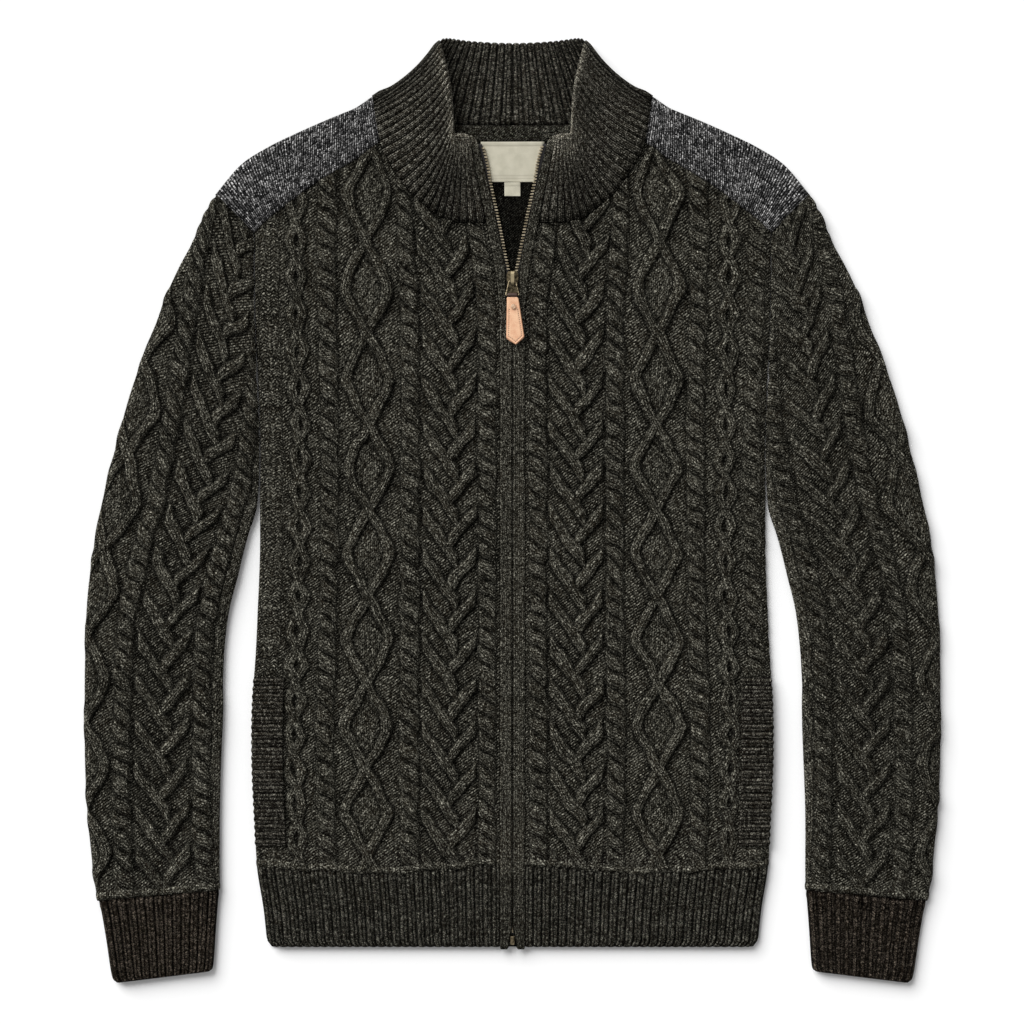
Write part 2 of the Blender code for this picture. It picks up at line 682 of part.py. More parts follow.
def make_cuff(name, side):
    """A ribbed cuff: a narrower flattened tube."""
    table = np.array(CUFF)
    lines, full = table[:, :4], table[:, 4]
    top_height = SLEEVE_TOP - 0.9
    shares = np.linspace(0.05, 0.95, 2 * CUFF_RIBS + 1)
    ring = [(0.0, SLEEVE_MID - 0.4)]
    ring += [(s, top_height + (RIB_RISE if i % 2 else 0.0)) for i, s in enumerate(shares)]
    ring += [(1.0, SLEEVE_MID - 0.4), (0.97, 0.0), (0.03, 0.0)]
    columns = []
    for share, height in ring:
        raised = height > SLEEVE_MID
        ceiling = SLEEVE_WALL + SLEEVE_HOLLOW
        z = np.where(raised, ceiling + (height - ceiling) * full, height)
        columns.append(stack(*ring_points(lines, share, z), side))
    rings = hollow_rings(lines, SLEEVE_WALL, SLEEVE_WALL + SLEEVE_HOLLOW - 0.2)
    inner = np.stack([stack(*ring, side) for ring in rings], axis=1)
    tube_wall(f"cuff_{name}", np.stack(columns, axis=1), inner, "rib_knit")


# ---------- the collar ----------


def bent(seam, top, bend, share):
    """A point on a rib's line in plan, bowed towards the middle of the garment by the bend."""
    chord = top - seam
    across = np.stack([chord[..., 1], -chord[..., 0]], axis=-1)
    across = across / np.linalg.norm(across, axis=-1, keepdims=True)
    bow = 4 * share * (1 - share) * bend
    return seam + chord * share - across * bow[..., None] * np.sign(across[..., 1:2])


def collar_sections():
    """Rings round the collar's wall for its half at +X, from the zip to the middle of the back."""
    sections = []
    front = spread(COLLAR_FRONT, np.linspace(0, 1, 2 * COLLAR_FRONT_RIBS + 1))
    for index, (sx, sy, tx, ty, bend, lift) in enumerate(front):
        seam, top = np.array([sx, sy]), np.array([tx, ty])
        near_zip = COLLAR_ZIP_LIFT * (1 - index / (len(front) - 1))
        crest = RIB_RISE * (index % 2)
        floors = [COLLAR_FRONT_FLOOR + near_zip + lift * share for share in COLLAR_SHARES]
        ring = [(*seam, floors[0])]
        for share, floor, rise in zip(COLLAR_SHARES, floors, (0.3, 1.0, 1.0, 0.6)):
            plan = bent(seam, top, np.array(bend), share)
            ring.append((*plan, floor + COLLAR_WALL - 0.9 * (rise < 1) + crest * rise))
        ring.append((*top, floors[-1]))
        sections.append(ring)
    fold_seam, fold_top = np.array(COLLAR_FOLD[0]), np.array(COLLAR_FOLD[1])
    inward = np.array([-0.66, -0.75])
    fold = (
        # inset outside, height outside, inset inside, height inside
        (0.6, 6.4, 3.4, COLLAR_FRONT_FLOOR - 0.1),
        (0.0, 3.9, 2.9, 3.75),
        (0.9, 0.6, 3.4, BACK_WALL + 0.3),
    )
    for out_inset, out_z, in_inset, in_z in fold:
        ring = [(*(fold_seam + inward * in_inset), in_z)]
        for share in COLLAR_SHARES:
            plan = bent(fold_seam, fold_top, np.array(COLLAR_FOLD_BEND), share) + inward * out_inset
            ring.append((*plan, out_z))
        ring.append((*(fold_top + inward * in_inset), in_z))
        sections.append(ring)
    back = spread(COLLAR_BACK, np.linspace(0, 1, 2 * COLLAR_BACK_RIBS + 1))
    for index, (sx, sy, tx, ty, bend, _) in enumerate(back):
        seam, top = np.array([sx, sy]), np.array([tx, ty])
        crest = 0.7 * (index % 2)
        tip = top + (0.0, 0.5 * (index % 2))
        ring = [(*seam, BACK_WALL + 0.4 * crest)]
        ring += [(*bent(seam, tip, np.array(bend), share), 0.0) for share in COLLAR_SHARES]
        ring.append((*tip, BACK_WALL + crest))
        sections.append(ring)
    return np.array(sections)


def make_collar():
    """The ribbed collar: its back lies flat, its fronts fold over on to it."""
    half = collar_sections()
    other = half[-2::-1] * (-1, 1, 1)
    rings = np.concatenate([half, other])
    shape = bmesh.new()
    skin = [[shape.verts.new(point) for point in ring] for ring in rings * MM]
    for ring, following in zip(skin, skin[1:]):
        for j in range(len(ring)):
            k = (j + 1) % len(ring)
            shape.faces.new((ring[j], ring[k], following[k], following[j]))
    shape.faces.new(skin[0])
    shape.faces.new(skin[-1])
    finish_mesh("collar", shape, "rib_knit")


# ---------- zip, labels and pull ----------

SLIDER_TOP_Y = 204.2
SLIDER_BOTTOM_Y = 185.0
SLIDER_PLATE = (BAND_FLOOR, 7.5)
SLIDER_UNDER = (FRONT_FLOOR, 4.3)
BRIDGE_HALF = 1.5
LINK_AXIS = (195.5, 8.8)
LINK_LENGTH = 12.4
LINK_WIRE = 0.7
LINK_TOP_HALF = 2.9
LINK_LOW_HALF = 5.6
LINK_PITCH = math.radians(12.6)
TAB_WALL = 2.6
TAB_LENGTH = 42.1
TAB_PITCH = math.radians(1.0)
TAB_SWING = math.radians(3.9)
EYE_RADIUS = 2.0
EYE_HOLE = 1.1
EYE_HALF = 4.2
TAB_OUTLINE = (
    # half width, distance below the bar
    (4.2, 0.0),
    (4.2, 1.7),
    (4.95, 2.6),
    (7.6, 34.4),
    (7.7, 35.6),
    (6.9, 36.9),
    (0.9, 41.7),
)
RIVET_RADIUS = 2.2
RIVET_DOWN = 9.6


def make_tape(name, side):
    """One half of the zip's tape, under the band, its toothed edge out in the open neck."""
    ys = np.array([-359.5, -200, 0, 170, 182, 190, 197, 204.4, 212.9, 231, 249.5, 279.2, 300.5, 312.5])
    edge = smooth(ys, TEETH_EDGE, 1)
    edge = np.where(ys < 181.0, TEETH_EDGE[0][1], edge)
    reach = np.minimum(edge + 9.0, smooth(ys, BAND_EDGES, 2) - 0.2)
    x = np.stack([edge, (edge + reach) / 2, reach], axis=1)
    y = ys[:, None] + 0 * x
    top = TAPE_FLOOR + TAPE_WALL + 0 * x
    wall_under(f"zip_tape_{name}", stack(x, y, top, side), TAPE_FLOOR, "zip_tape")


def bevel(obj, width, segments=1):
    modifier = obj.modifiers.new("soft edges", "BEVEL")
    modifier.width = width * MM
    modifier.segments = segments
    modifier.limit_method = "ANGLE"
    modifier.angle_limit = math.radians(40)
    return obj


def plate(name, outline, low, high, material_name):
    """A flat outline with its thickness, as a mesh."""
    curve = bpy.data.curves.new(name, "CURVE")
    curve.dimensions = "2D"
    curve.fill_mode = "BOTH"
    curve.extrude = (high - low) / 2 * MM
    spline = curve.splines.new("POLY")
    spline.points.add(len(outline) - 1)
    for point, (x, y) in zip(spline.points, outline):
        point.co = (x * MM, y * MM, 0.0, 1.0)
    spline.use_cyclic_u = True
    guide = bpy.data.objects.new(name, curve)
    bpy.data.collections["cardigan"].objects.link(guide)
    guide.location.z = (low + high) / 2 * MM
    return curve_to_mesh(guide, material_name)


def curve_to_mesh(guide, material_name):
    """The evaluated curve as a welded mesh object in the same place."""
    bpy.context.view_layer.update()
    graph = bpy.context.evaluated_depsgraph_get()
    name = guide.name
    mesh = bpy.data.meshes.new_from_object(guide.evaluated_get(graph))
    matrix = guide.matrix_world.copy()
    bpy.data.objects.remove(guide)
    shape = bmesh.new()
    shape.from_mesh(mesh)
    bmesh.ops.remove_doubles(shape, verts=shape.verts, dist=MERGE / 2)
    bmesh.ops.recalc_face_normals(shape, faces=shape.faces)
    shape.to_mesh(mesh)
    shape.free()
    mesh.materials.clear()
    obj = add_object(name, mesh, material_name)
    obj.matrix_world = matrix
    return obj


def cylinder(name, radius, length, material_name, segments=20):
    """A cylinder along X, centred on its origin."""
    shape = bmesh.new()
    turn = Matrix.Rotation(math.pi / 2, 4, "Y")
    bmesh.ops.create_cone(
        shape,
        cap_ends=True,
        segments=segments,
        radius1=radius * MM,
        radius2=radius * MM,
        depth=length * MM,
        matrix=turn,
    )
    return finish_mesh(name, shape, material_name)


def combine(obj, other, operation):
    """A Boolean with a helper, which becomes a hidden cutter."""
    modifier = obj.modifiers.new(other.name, "BOOLEAN")
    modifier.object = other
    modifier.operation = operation
    modifier.solver = "EXACT"
    bpy.data.collections["cardigan"].objects.unlink(other)
    bpy.data.collections["cutters"].objects.link(other)
    other.hide_render = True
    other.display_type = "WIRE"


def make_slider():
    """The slider: two plates round the tape, a post between the rows of teeth, and the pull's bridge."""
    top, bottom = SLIDER_TOP_Y, SLIDER_BOTTOM_Y
    shield = [(3.6, top), (4.9, top - 2.4), (5.0, top - 5.5), (4.3, top - 13.0)]
    shield += [(4.4, bottom + 1.0), (3.8, bottom)]
    outline = shield + [(-x, y) for x, y in reversed(shield)]
    body = plate("zip_slider", outline, *SLIDER_PLATE, "antique_brass")
    under = plate("slider_under", outline, *SLIDER_UNDER, "antique_brass")
    post_shape = [(1.9, top - 0.5), (1.1, top - 5.0), (-1.1, top - 5.0), (-1.9, top - 0.5)]
    post = plate("slider_post", post_shape, SLIDER_UNDER[1] - 0.4, SLIDER_PLATE[0] + 0.4, "antique_brass")
    foot = SLIDER_PLATE[1] - 0.4
    arch = [
        (192.2, foot),
        (192.5, 10.3),
        (194.2, 11.3),
        (201.8, 11.3),
        (203.4, 10.1),
        (203.8, foot),
        (201.9, foot),
        (201.5, 9.8),
        (194.5, 9.8),
        (194.3, foot),
    ]
    bridge = plate("slider_bridge", arch, -BRIDGE_HALF, BRIDGE_HALF, "antique_brass")
    # The arch is drawn in Y and Z, so its plane is stood up along the zip.
    stand_up = Matrix(((0, 0, 1, 0), (1, 0, 0, 0), (0, 1, 0, 0), (0, 0, 0, 1)))
    bridge.matrix_world = stand_up @ bridge.matrix_world
    for piece in (under, post, bridge):
        combine(body, piece, "UNION")
    bevel(body, 0.25)


def empty_at(name, location, parent=None):
    """An empty on a joint's axis."""
    empty = bpy.data.objects.new(name, None)
    bpy.data.collections["cardigan"].objects.link(empty)
    empty.location = Vector(location) * MM
    empty.parent = parent
    return empty


def make_pull():
    """The wire link on the slider's bridge, and the leather tab folded round its lower bar."""
    hinge = empty_at("link_axis", (0.0, *LINK_AXIS))
    curve = bpy.data.curves.new("pull_link", "CURVE")
    curve.dimensions = "3D"
    curve.bevel_depth = LINK_WIRE * MM
    curve.bevel_resolution = 2
    corner = 0.45
    half = [
        (LINK_TOP_HALF - corner, 0.0),
        (LINK_TOP_HALF, -corner),
        (LINK_LOW_HALF, corner - LINK_LENGTH),
        (LINK_LOW_HALF - corner, -LINK_LENGTH),
    ]
    path = half + [(-x, y) for x, y in reversed(half)]
    spline = curve.splines.new("POLY")
    spline.points.add(len(path) - 1)
    for point, (x, y) in zip(spline.points, path):
        point.co = (x * MM, y * MM, 0.0, 1.0)
    spline.use_cyclic_u = True
    link = bpy.data.objects.new("pull_link", curve)
    bpy.data.collections["cardigan"].objects.link(link)
    curve.materials.append(bpy.data.materials["antique_brass"])
    link.parent = hinge
    link.rotation_euler.x = -LINK_PITCH

    bar_y = LINK_AXIS[0] - LINK_LENGTH * math.cos(LINK_PITCH)
    bar_z = LINK_AXIS[1] + LINK_LENGTH * math.sin(LINK_PITCH)
    bar = empty_at("tab_axis", (0.0, bar_y - LINK_AXIS[0], bar_z - LINK_AXIS[1]), hinge)
    turn = Matrix.Rotation(TAB_SWING, 2)
    outline = []
    for half_width, down in TAB_OUTLINE:
        outline.append((half_width, -down))
    outline += [(-x, y) for x, y in reversed(outline)]
    swung = [tuple(turn @ Vector(point)) if point[1] < -2.0 else point for point in outline]
    tab = plate("pull_tab", swung, -TAB_WALL / 2, TAB_WALL / 2, "leather")
    eye = cylinder("tab_eye", EYE_RADIUS, 2 * EYE_HALF, "leather")
    hole = cylinder("tab_hole", EYE_HOLE, 2 * EYE_HALF + 4, "leather")
    combine(tab, eye, "UNION")
    combine(tab, hole, "DIFFERENCE")
    bevel(tab, 0.45)
    for piece in (tab, eye, hole):
        piece.parent = bar
        piece.rotation_euler.x = TAB_PITCH

    angles = np.linspace(0, 2 * math.pi, 19)[:-1]
    circle = [(math.cos(angle) * RIVET_RADIUS, math.sin(angle) * RIVET_RADIUS) for angle in angles]
    rivet = plate("pull_rivet", circle, 0.0, 0.9, "antique_brass")
    bevel(rivet, 0.4)
    rivet.parent = bar
    down = turn @ Vector((0.0, -RIVET_DOWN))
    rivet.location = (down.x * MM, down.y * MM, (TAB_WALL / 2 + SEAM_GAP + 0.45) * MM)
    rivet.location.z -= abs(down.y) * math.sin(TAB_PITCH) * MM
    rivet.rotation_euler.x = TAB_PITCH


def small_block(name, low, high, material_name, soft):
    """A rounded block between two corners."""
    shape = bmesh.new()
    size = Vector(high) - Vector(low)
    middle = (Vector(high) + Vector(low)) / 2
    place = Matrix.Translation(middle * MM) @ Matrix.Diagonal((size * MM).to_4d())
    place[3][3] = 1.0
    bmesh.ops.create_cube(shape, size=1.0, matrix=place)
    bevel(finish_mesh(name, shape, material_name), soft)


def make_labels():
    """The neck label and size tab, bare, sewn inside the back."""
    low = BACK_WALL + SEAM_GAP
    small_block("neck_label", (-27.0, 280.4, low), (27.0, 314.6, low + 0.6), "label_cloth", 0.2)
    small_block("size_tab", (-6.8, 268.4, low), (6.8, 280.1, low + 0.6), "label_cloth", 0.2)


def clear_scene():
    for obj in list(bpy.data.objects):
        bpy.data.objects.remove(obj)
    for name in ("cardigan", "cutters"):
        collection = bpy.data.collections.new(name)
        bpy.context.scene.collection.children.link(collection)
    for name in MATERIALS:
        make_material(name)


def main():
    clear_scene()
    make_back()
    make_back_hem()
    for name, side in SIDES.items():
        make_front(name, side)
        make_hem(name, side)
        make_band(name, side)
        make_patch(name, side)
        make_welt(name, side)
        make_sleeve(name, side)
        make_cuff(name, side)
        make_tape(name, side)
    make_collar()
    make_slider()
    make_pull()
    make_labels()
    small_block("zip_box", (-1.9, -368.0, TAPE_FLOOR), (1.9, -361.0, 7.4), "antique_brass", 0.4)


main()
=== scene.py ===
import math

import bpy
import numpy as np
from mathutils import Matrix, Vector


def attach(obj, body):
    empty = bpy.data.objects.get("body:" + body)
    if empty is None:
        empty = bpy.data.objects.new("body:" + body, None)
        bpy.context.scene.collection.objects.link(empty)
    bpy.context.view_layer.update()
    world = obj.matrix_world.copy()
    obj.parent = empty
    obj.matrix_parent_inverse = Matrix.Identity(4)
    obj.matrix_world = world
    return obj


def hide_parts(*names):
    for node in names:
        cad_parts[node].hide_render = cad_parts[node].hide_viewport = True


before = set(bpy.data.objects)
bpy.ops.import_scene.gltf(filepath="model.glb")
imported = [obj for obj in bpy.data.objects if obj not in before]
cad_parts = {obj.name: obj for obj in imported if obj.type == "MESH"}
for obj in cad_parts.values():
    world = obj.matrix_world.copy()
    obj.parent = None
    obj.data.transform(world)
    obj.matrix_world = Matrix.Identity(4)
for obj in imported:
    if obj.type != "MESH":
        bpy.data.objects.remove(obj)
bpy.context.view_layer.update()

print("frame loaded:", len(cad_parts), "nodes")

mm = 0.001
sides = {"left": 1, "right": -1}

layers = dict(
    frontFloor=3.3, frontWall=2.6, tapeFloor=4.6, bandFloor=5.9, lip=0.9, edgeRound=4.5, thinnest=0.8,
)
courses = dict(rowZero=1.3, diamond=73.1, chevron=36.55, halfChest=216.0, zipSide=10.9)
hem = dict(seam=-304.2, bottom=-370.4, ribs=28, relief=1.7)

# outlines, as in the part: each row is one measured place
bodySideRows = [  # y, half width
    (-370.4, 208.4), (-338.7, 211.7), (-304.2, 217.2), (-262.0, 219.7), (-211.0, 221.9),
    (-160.0, 221.4), (-120.0, 218.6), (-85.0, 217.0), (-32.0, 215.0), (10.6, 215.0),
    (45.0, 214.4), (113.5, 216.6), (141.5, 218.0), (188.0, 219.2), (237.0, 219.4),
]
teethRows = [  # y, x of the teeth's edge
    (-359.5, 0.15), (182.0, 0.15), (204.4, 3.3), (212.9, 5.1), (249.5, 12.3),
    (279.2, 18.7), (300.5, 22.5), (314.0, 26.4),
]
bandRows = [  # y, inner x, outer x
    (-372.0, 4.6, 10.0), (-370.0, 3.2, 10.6), (-364.0, 2.4, 10.6), (-360.0, 1.7, 10.6),
    (-354.0, 0.05, 10.6), (-304.0, 0.05, 10.6), (-180.0, 0.05, 10.6), (-60.0, 0.05, 10.6),
    (60.0, 0.05, 10.6), (150.0, 0.05, 10.6), (168.0, 0.3, 10.8), (178.0, 4.6, 11.6),
    (184.0, 5.7, 12.1), (195.0, 5.7, 13.3), (205.0, 5.9, 14.6), (212.9, 6.9, 15.8),
    (231.0, 10.4, 19.2), (249.5, 14.0, 22.8), (265.0, 17.2, 26.0), (279.2, 20.6, 29.2),
    (292.0, 23.8, 31.6), (302.0, 26.4, 33.4), (310.0, 28.4, 35.6), (314.5, 29.6, 36.6),
    (318.0, 32.5, 37.0), (319.5, 34.8, 37.2),
]
neckRows = [  # x, y of the seam under the collar
    (20.0, 245.2), (40.0, 245.3), (56.5, 247.5), (72.0, 257.0), (87.6, 270.7),
    (100.5, 288.0), (110.0, 306.0), (112.8, 312.4),
]
patchRows = [  # lower x, lower y, upper x, upper y
    (113.8, 313.2, 120.4, 352.2), (131.8, 300.6, 133.0, 343.6), (147.0, 291.4, 146.5, 337.8),
    (165.8, 280.4, 164.5, 330.3), (183.0, 267.8, 186.0, 320.6), (195.0, 259.0, 208.0, 309.8),
    (208.3, 248.4, 231.0, 294.8), (219.4, 237.6, 252.0, 270.4),
]
sleeveRows = [  # outer x, outer y, inner x, inner y
    (252.2, 270.0, 219.6, 237.2), (262.5, 252.0, 219.9, 214.0), (272.0, 230.0, 219.7, 190.0),
    (284.0, 208.0, 219.1, 165.0), (295.0, 184.0, 218.5, 140.0), (305.0, 156.0, 217.2, 113.5),
    (316.0, 127.5, 216.2, 87.0), (326.0, 99.0, 215.4, 60.0), (335.5, 64.0, 215.2, 34.0),
    (343.5, 32.0, 216.2, 10.6), (350.5, 3.0, 219.5, -6.0), (355.0, -22.0, 226.5, -27.0),
    (359.5, -52.0, 233.5, -55.0), (362.6, -85.0, 241.0, -85.5), (364.0, -125.0, 245.0, -124.0),
    (364.0, -170.0, 246.0, -169.0), (364.0, -215.0, 247.5, -214.0), (361.2, -262.0, 248.7, -260.0),
    (357.0, -305.0, 248.9, -300.0), (353.5, -331.0, 248.9, -321.5),
]
cuffRows = [  # outer x, outer y, inner x, inner y
    (352.0, -330.7, 249.8, -321.3), (350.0, -338.0, 250.4, -328.0), (345.5, -364.0, 252.4, -354.0),
    (340.9, -394.0, 254.6, -385.0), (337.0, -400.8, 257.4, -391.0),
]
collarFrontRows = [  # seam x, seam y, top x, top y, bend, lift of the top edge
    (22.9, 245.9, 37.0, 319.8, 0.0, 0.0), (40.0, 246.0, 41.3, 321.0, 0.0, 0.6),
    (56.5, 248.2, 45.3, 321.2, 1.0, 1.3), (71.6, 257.9, 48.9, 321.4, 3.0, 1.9),
    (87.0, 271.6, 49.5, 331.0, 5.0, 2.4), (99.6, 289.0, 50.2, 343.5, 6.0, 2.6),
    (109.9, 306.4, 51.4, 357.5, 6.0, 2.4), (114.6, 324.4, 54.0, 372.0, 5.0, 1.8),
    (117.2, 340.6, 57.6, 386.5, 5.0, 0.9), (118.2, 348.4, 60.6, 397.6, 5.0, 0.1),
]
collarBackRows = [  # seam x, seam y, top x, top y, bend
    (116.4, 348.6, 60.4, 400.7, 4.5), (100.0, 340.4, 54.2, 401.1, 2.0), (80.0, 333.9, 46.6, 400.0, 0.0),
    (60.0, 330.9, 37.0, 398.8, 0.0), (40.0, 329.7, 26.0, 397.9, 0.0), (20.0, 329.3, 13.0, 397.2, 0.0),
    (0.0, 329.2, 0.0, 396.9, 0.0),
]
backNeckRows = [  # x, y
    (0.0, 329.7), (40.0, 330.2), (60.0, 331.2), (80.0, 333.2), (100.0, 339.2), (112.0, 345.2), (122.0, 351.4),
]
hemSeamRows = [  # x, height over the straight seam
    (10.0, 3.2), (40.0, 1.2), (60.0, -0.8), (90.0, -3.6), (115.0, -4.2), (150.0, -2.4), (185.0, -0.6),
    (217.0, 1.2),
]
creaseRows = [  # x1, y1, x2, y2, depth, width
    (217.6, 124.0, 230.0, 88.0, 3.0, 7.0), (230.0, 88.0, 242.0, 58.0, 2.2, 8.0),
    (214.0, 12.0, 196.0, 42.0, 1.4, 9.0), (230.0, -12.0, 262.0, 22.0, 1.6, 9.0),
    (352.0, -108.0, 318.0, -124.0, 1.3, 8.0), (252.0, -148.0, 286.0, -166.0, 1.2, 9.0),
    (350.0, -262.0, 306.0, -270.0, 1.2, 8.0),
]


# curves through the rows
# Cubic Hermite through one column, read at values of the first column; slopes are central differences.
def smoothAt(at, rows, column):
    known = np.array([row[0] for row in rows], float)
    values = np.array([row[column] for row in rows], float)
    slopes = np.gradient(values, known)
    at = np.clip(np.asarray(at, float), known[0], known[-1])
    low = np.clip(np.searchsorted(known, at, side="right") - 1, 0, len(known) - 2)
    step = known[low + 1] - known[low]
    t = (at - known[low]) / step
    start = values[low] * (1 + 2 * t) * (1 - t) ** 2 + slopes[low] * step * t * (1 - t) ** 2
    end = values[low + 1] * t**2 * (3 - 2 * t) - slopes[low + 1] * step * t**2 * (1 - t)
    return start + end


def straightAt(at, rows, column=1):
    return np.interp(at, [row[0] for row in rows], [row[column] for row in rows])


# Every column read smoothly at places from 0, the first row, to 1, the last.
def spreadRows(rows, places):
    count = len(rows) - 1
    numbered = [(index / count, *row) for index, row in enumerate(rows)]
    return np.stack([smoothAt(places, numbered, 1 + c) for c in range(len(rows[0]))], axis=-1)


def ease(value):
    value = np.clip(value, 0.0, 1.0)
    return value * value * (3 - 2 * value)


# Half a circle: 1 at 0, 0 at 1 and beyond.
def dome(value):
    return np.sqrt(np.clip(1 - np.asarray(value) ** 2, 0, 1))


# A soft bump: 1 at 0, and exp(-(distance / width) to the power) away from it.
def bell(distance, width, power=2):
    return np.exp(-((distance / width) ** power))


# x, y and z spread to one shape, as one array of points.
def pointsOf(x, y, z):
    return np.stack(np.broadcast_arrays(x, y, z), axis=-1)


# Even steps along a row, and down a column: the two together span a grid.
def alongRow(start, end, count):
    return np.linspace(start, end, count)[None, :]


def downColumn(start, end, count):
    return np.linspace(start, end, count)[:, None]


# Lines are rows of outer x, outer y, inner x, inner y. Places at a share of the way along each.
def acrossLines(lines, share):
    return [lines[:, k : k + 1] + (lines[:, k + 2 : k + 3] - lines[:, k : k + 1]) * share for k in (0, 1)]


def widthOf(lines):
    return np.hypot(lines[:, 0] - lines[:, 2], lines[:, 1] - lines[:, 3])[:, None]


# Distance run from the first line to each, through the lines' middles.
def runOf(lines):
    middle = (lines[:, :2] + lines[:, 2:]) / 2
    return np.concatenate([[0], np.cumsum(np.hypot(*np.diff(middle, axis=0).T))])[:, None]


def bodySide(y):
    return smoothAt(y, bodySideRows, 1)


# Distance from the closed zip to real x: the side seam scales it, the open V pushes it out, and near the
# shoulder the diamonds are drawn in.
def placeToX(place, y):
    share = place / courses["halfChest"]
    x = place + (bodySide(y) - courses["halfChest"]) * share**2
    shift = smoothAt(y, bandRows, 2) - bandRows[5][2]
    x = x + shift * np.clip(1 - (place - courses["zipSide"]) / 205.0, 0, 1) ** 2
    return x - 9.0 * bell(place - 122.4, 30.0) * ease((y - 215.0) / 95.0)


# Deepest of the creases at a point: its depth times a bell of the distance from its line.
def creaseDepth(x, y):
    depth = np.zeros_like(x)
    for x1, y1, x2, y2, deep, wide in creaseRows:
        run = np.array([x2 - x1, y2 - y1])
        share = np.clip(((x - x1) * run[0] + (y - y1) * run[1]) / (run @ run), 0, 1)
        away = np.hypot(x - x1 - share * run[0], y - y1 - share * run[1])
        depth = np.maximum(depth, deep * bell(away, wide))
    return depth


# One sine across the cloth, with its direction, length in mm and start drawn at random.
def drawnWave(draw, x, y, turnEnd, shortest, longest):
    turn, length, start = draw.uniform(0, turnEnd), draw.uniform(shortest, longest), draw.uniform(0, 6.28)
    return np.sin((x * math.cos(turn) + y * math.sin(turn)) * 2 * math.pi / length + start)


# Soft unevenness of laid cloth: the sum of five sines of 60 to 170 mm, about 1 high.
def slowWaves(x, y, seed):
    draw = np.random.default_rng(seed)
    return sum(drawnWave(draw, x, y, math.pi, 60, 170) for _ in range(5)) / 3.0


# stitches: each returns height in mm, stitch across, stitch along, and 1 for knit or 0 for purl
stitch = dict(width=4.3, row=2.5, warp=0.8, plainWidth=2.9, plainRow=2.15)


# Hand-made unevenness: each way is shifted by six sines of 17 to 48 mm, by about half a millimetre.
def unevenly(x, y, seed):
    draw = np.random.default_rng(seed)
    waves = [drawnWave(draw, x, y, 2 * math.pi, 17, 48) for _ in range(12)]
    return x + stitch["warp"] * sum(waves[::2]) / 2.4, y + stitch["warp"] * sum(waves[1::2]) / 1.8


# Rows of bumps that rise to the photo's right on every piece, so side turns the x of the other half.
def purlGround(x, y, side=1):
    return 0 * x, side * x / stitch["width"], y / stitch["row"], 0 * x


# Bumps in a chequer: sin times sin.
def mossGround(x, y, height=0.8):
    bumps = np.sin(math.pi * x / 3.4) * np.sin(math.pi * y / 3.1)
    return height * (0.5 + 0.5 * bumps), x / 3.6, y / 3.0, 0.5 + 0 * x


# Twisted strands: a half-round section, cut by slanted grooves where y + slope * x repeats, bent to an S.
def ropeCable(x, y, half, period, height, slope=0.9):
    a = np.clip(x / half, -1, 1)
    phase = (y + slope * half * (a - 0.12 * np.sin(math.pi * a))) / period
    part = phase - np.floor(phase)
    strand = np.sin(math.pi * part)
    tuck = 1 - 0.30 * (a * np.cos(math.pi * part)) ** 2
    z = height * dome(a * 0.985) ** 0.55 * (0.02 + 0.98 * strand) * tuck
    turn = math.atan(slope)
    across = phase * period * math.cos(turn) / stitch["width"]
    along = (x * math.sin(turn) - y * math.cos(turn)) / stitch["row"] * 0.9
    return z, across, along, np.where(np.abs(a) < 0.98, 1.0, 0.0)


# Plaited chevron, the same way up on both fronts: falling arms lie over the centre, rising arms stop at them.
def chevronCable(x, y, side, period, height):
    x = x * side
    z, across, along, knit = purlGround(x, y)
    arms = (  # start x, end x, slope, shift in y, half thickness, level
        (-1.0, 22.8, 1.18, -27.1, 7.5, 0.95), (-22.8, 8.5, -1.42, -33.9, 8.4, 1.0),
    )
    for start, end, slope, shift, thick, level in arms:
        away = y - slope * x - shift
        away = (away + period / 2) % period - period / 2
        ends = dome(1 - np.clip((x - start) / 3.0, 0, 1)) * dome(1 - np.clip((end - x) / 3.0, 0, 1))
        arm = height * level * dome(away / thick) ** 0.65 * ends
        on = arm > z + 0.01
        z = np.where(on, arm, z)
        turn = math.atan(slope)
        across = np.where(on, away * math.cos(turn) / stitch["width"] + 0.5, across)
        armRun = -(x * math.cos(turn) + y * math.sin(turn)) * np.sign(slope)
        along = np.where(on, armRun / stitch["row"], along)
        knit = np.where(on, 1.0, knit)
    return z, across, along, knit


# Two strands that cross every length, along reach * bent sine, with moss or purl inside and purl outside.
def diamondCable(x, y, side, reach, length, height, thick=3.9, moss=True):
    x = x * side
    wave = np.sin(math.pi * y / length)
    bent = 2 / math.pi * np.arcsin(0.97 * wave) * 1.08
    z, across, along, knit = purlGround(x, y)
    if moss:
        inside = np.abs(x) < reach * np.abs(bent) - 2.0
        mossZ, mossAcross, mossAlong, mossKnit = mossGround(x, y)
        z = np.where(inside, mossZ, z)
        across, along = np.where(inside, mossAcross, across), np.where(inside, mossAlong, along)
        knit = np.where(inside, mossKnit, knit)
    slant = reach * 2 / length * np.sign(np.cos(math.pi * y / length))
    cross = np.abs((y + length / 2) % length - length / 2)
    for falls in (0, 1):
        sign = np.sign(np.cos(math.pi * y / length)) * (1 - 2 * falls)
        level = 1.0 if falls else 1 - 0.28 * bell(cross, 9.0)
        away = (x - sign * reach * bent) / np.sqrt(1 + slant**2)
        strand = height * level * dome(away / thick) ** 0.7
        on = strand > z
        z = np.where(on, strand, z)
        across = np.where(on, away / stitch["width"] + 0.5, across)
        along = np.where(on, -y * np.sqrt(1 + slant**2) / stitch["row"], along)
        knit = np.where(on, 1.0, knit)
    return z, across, along, knit


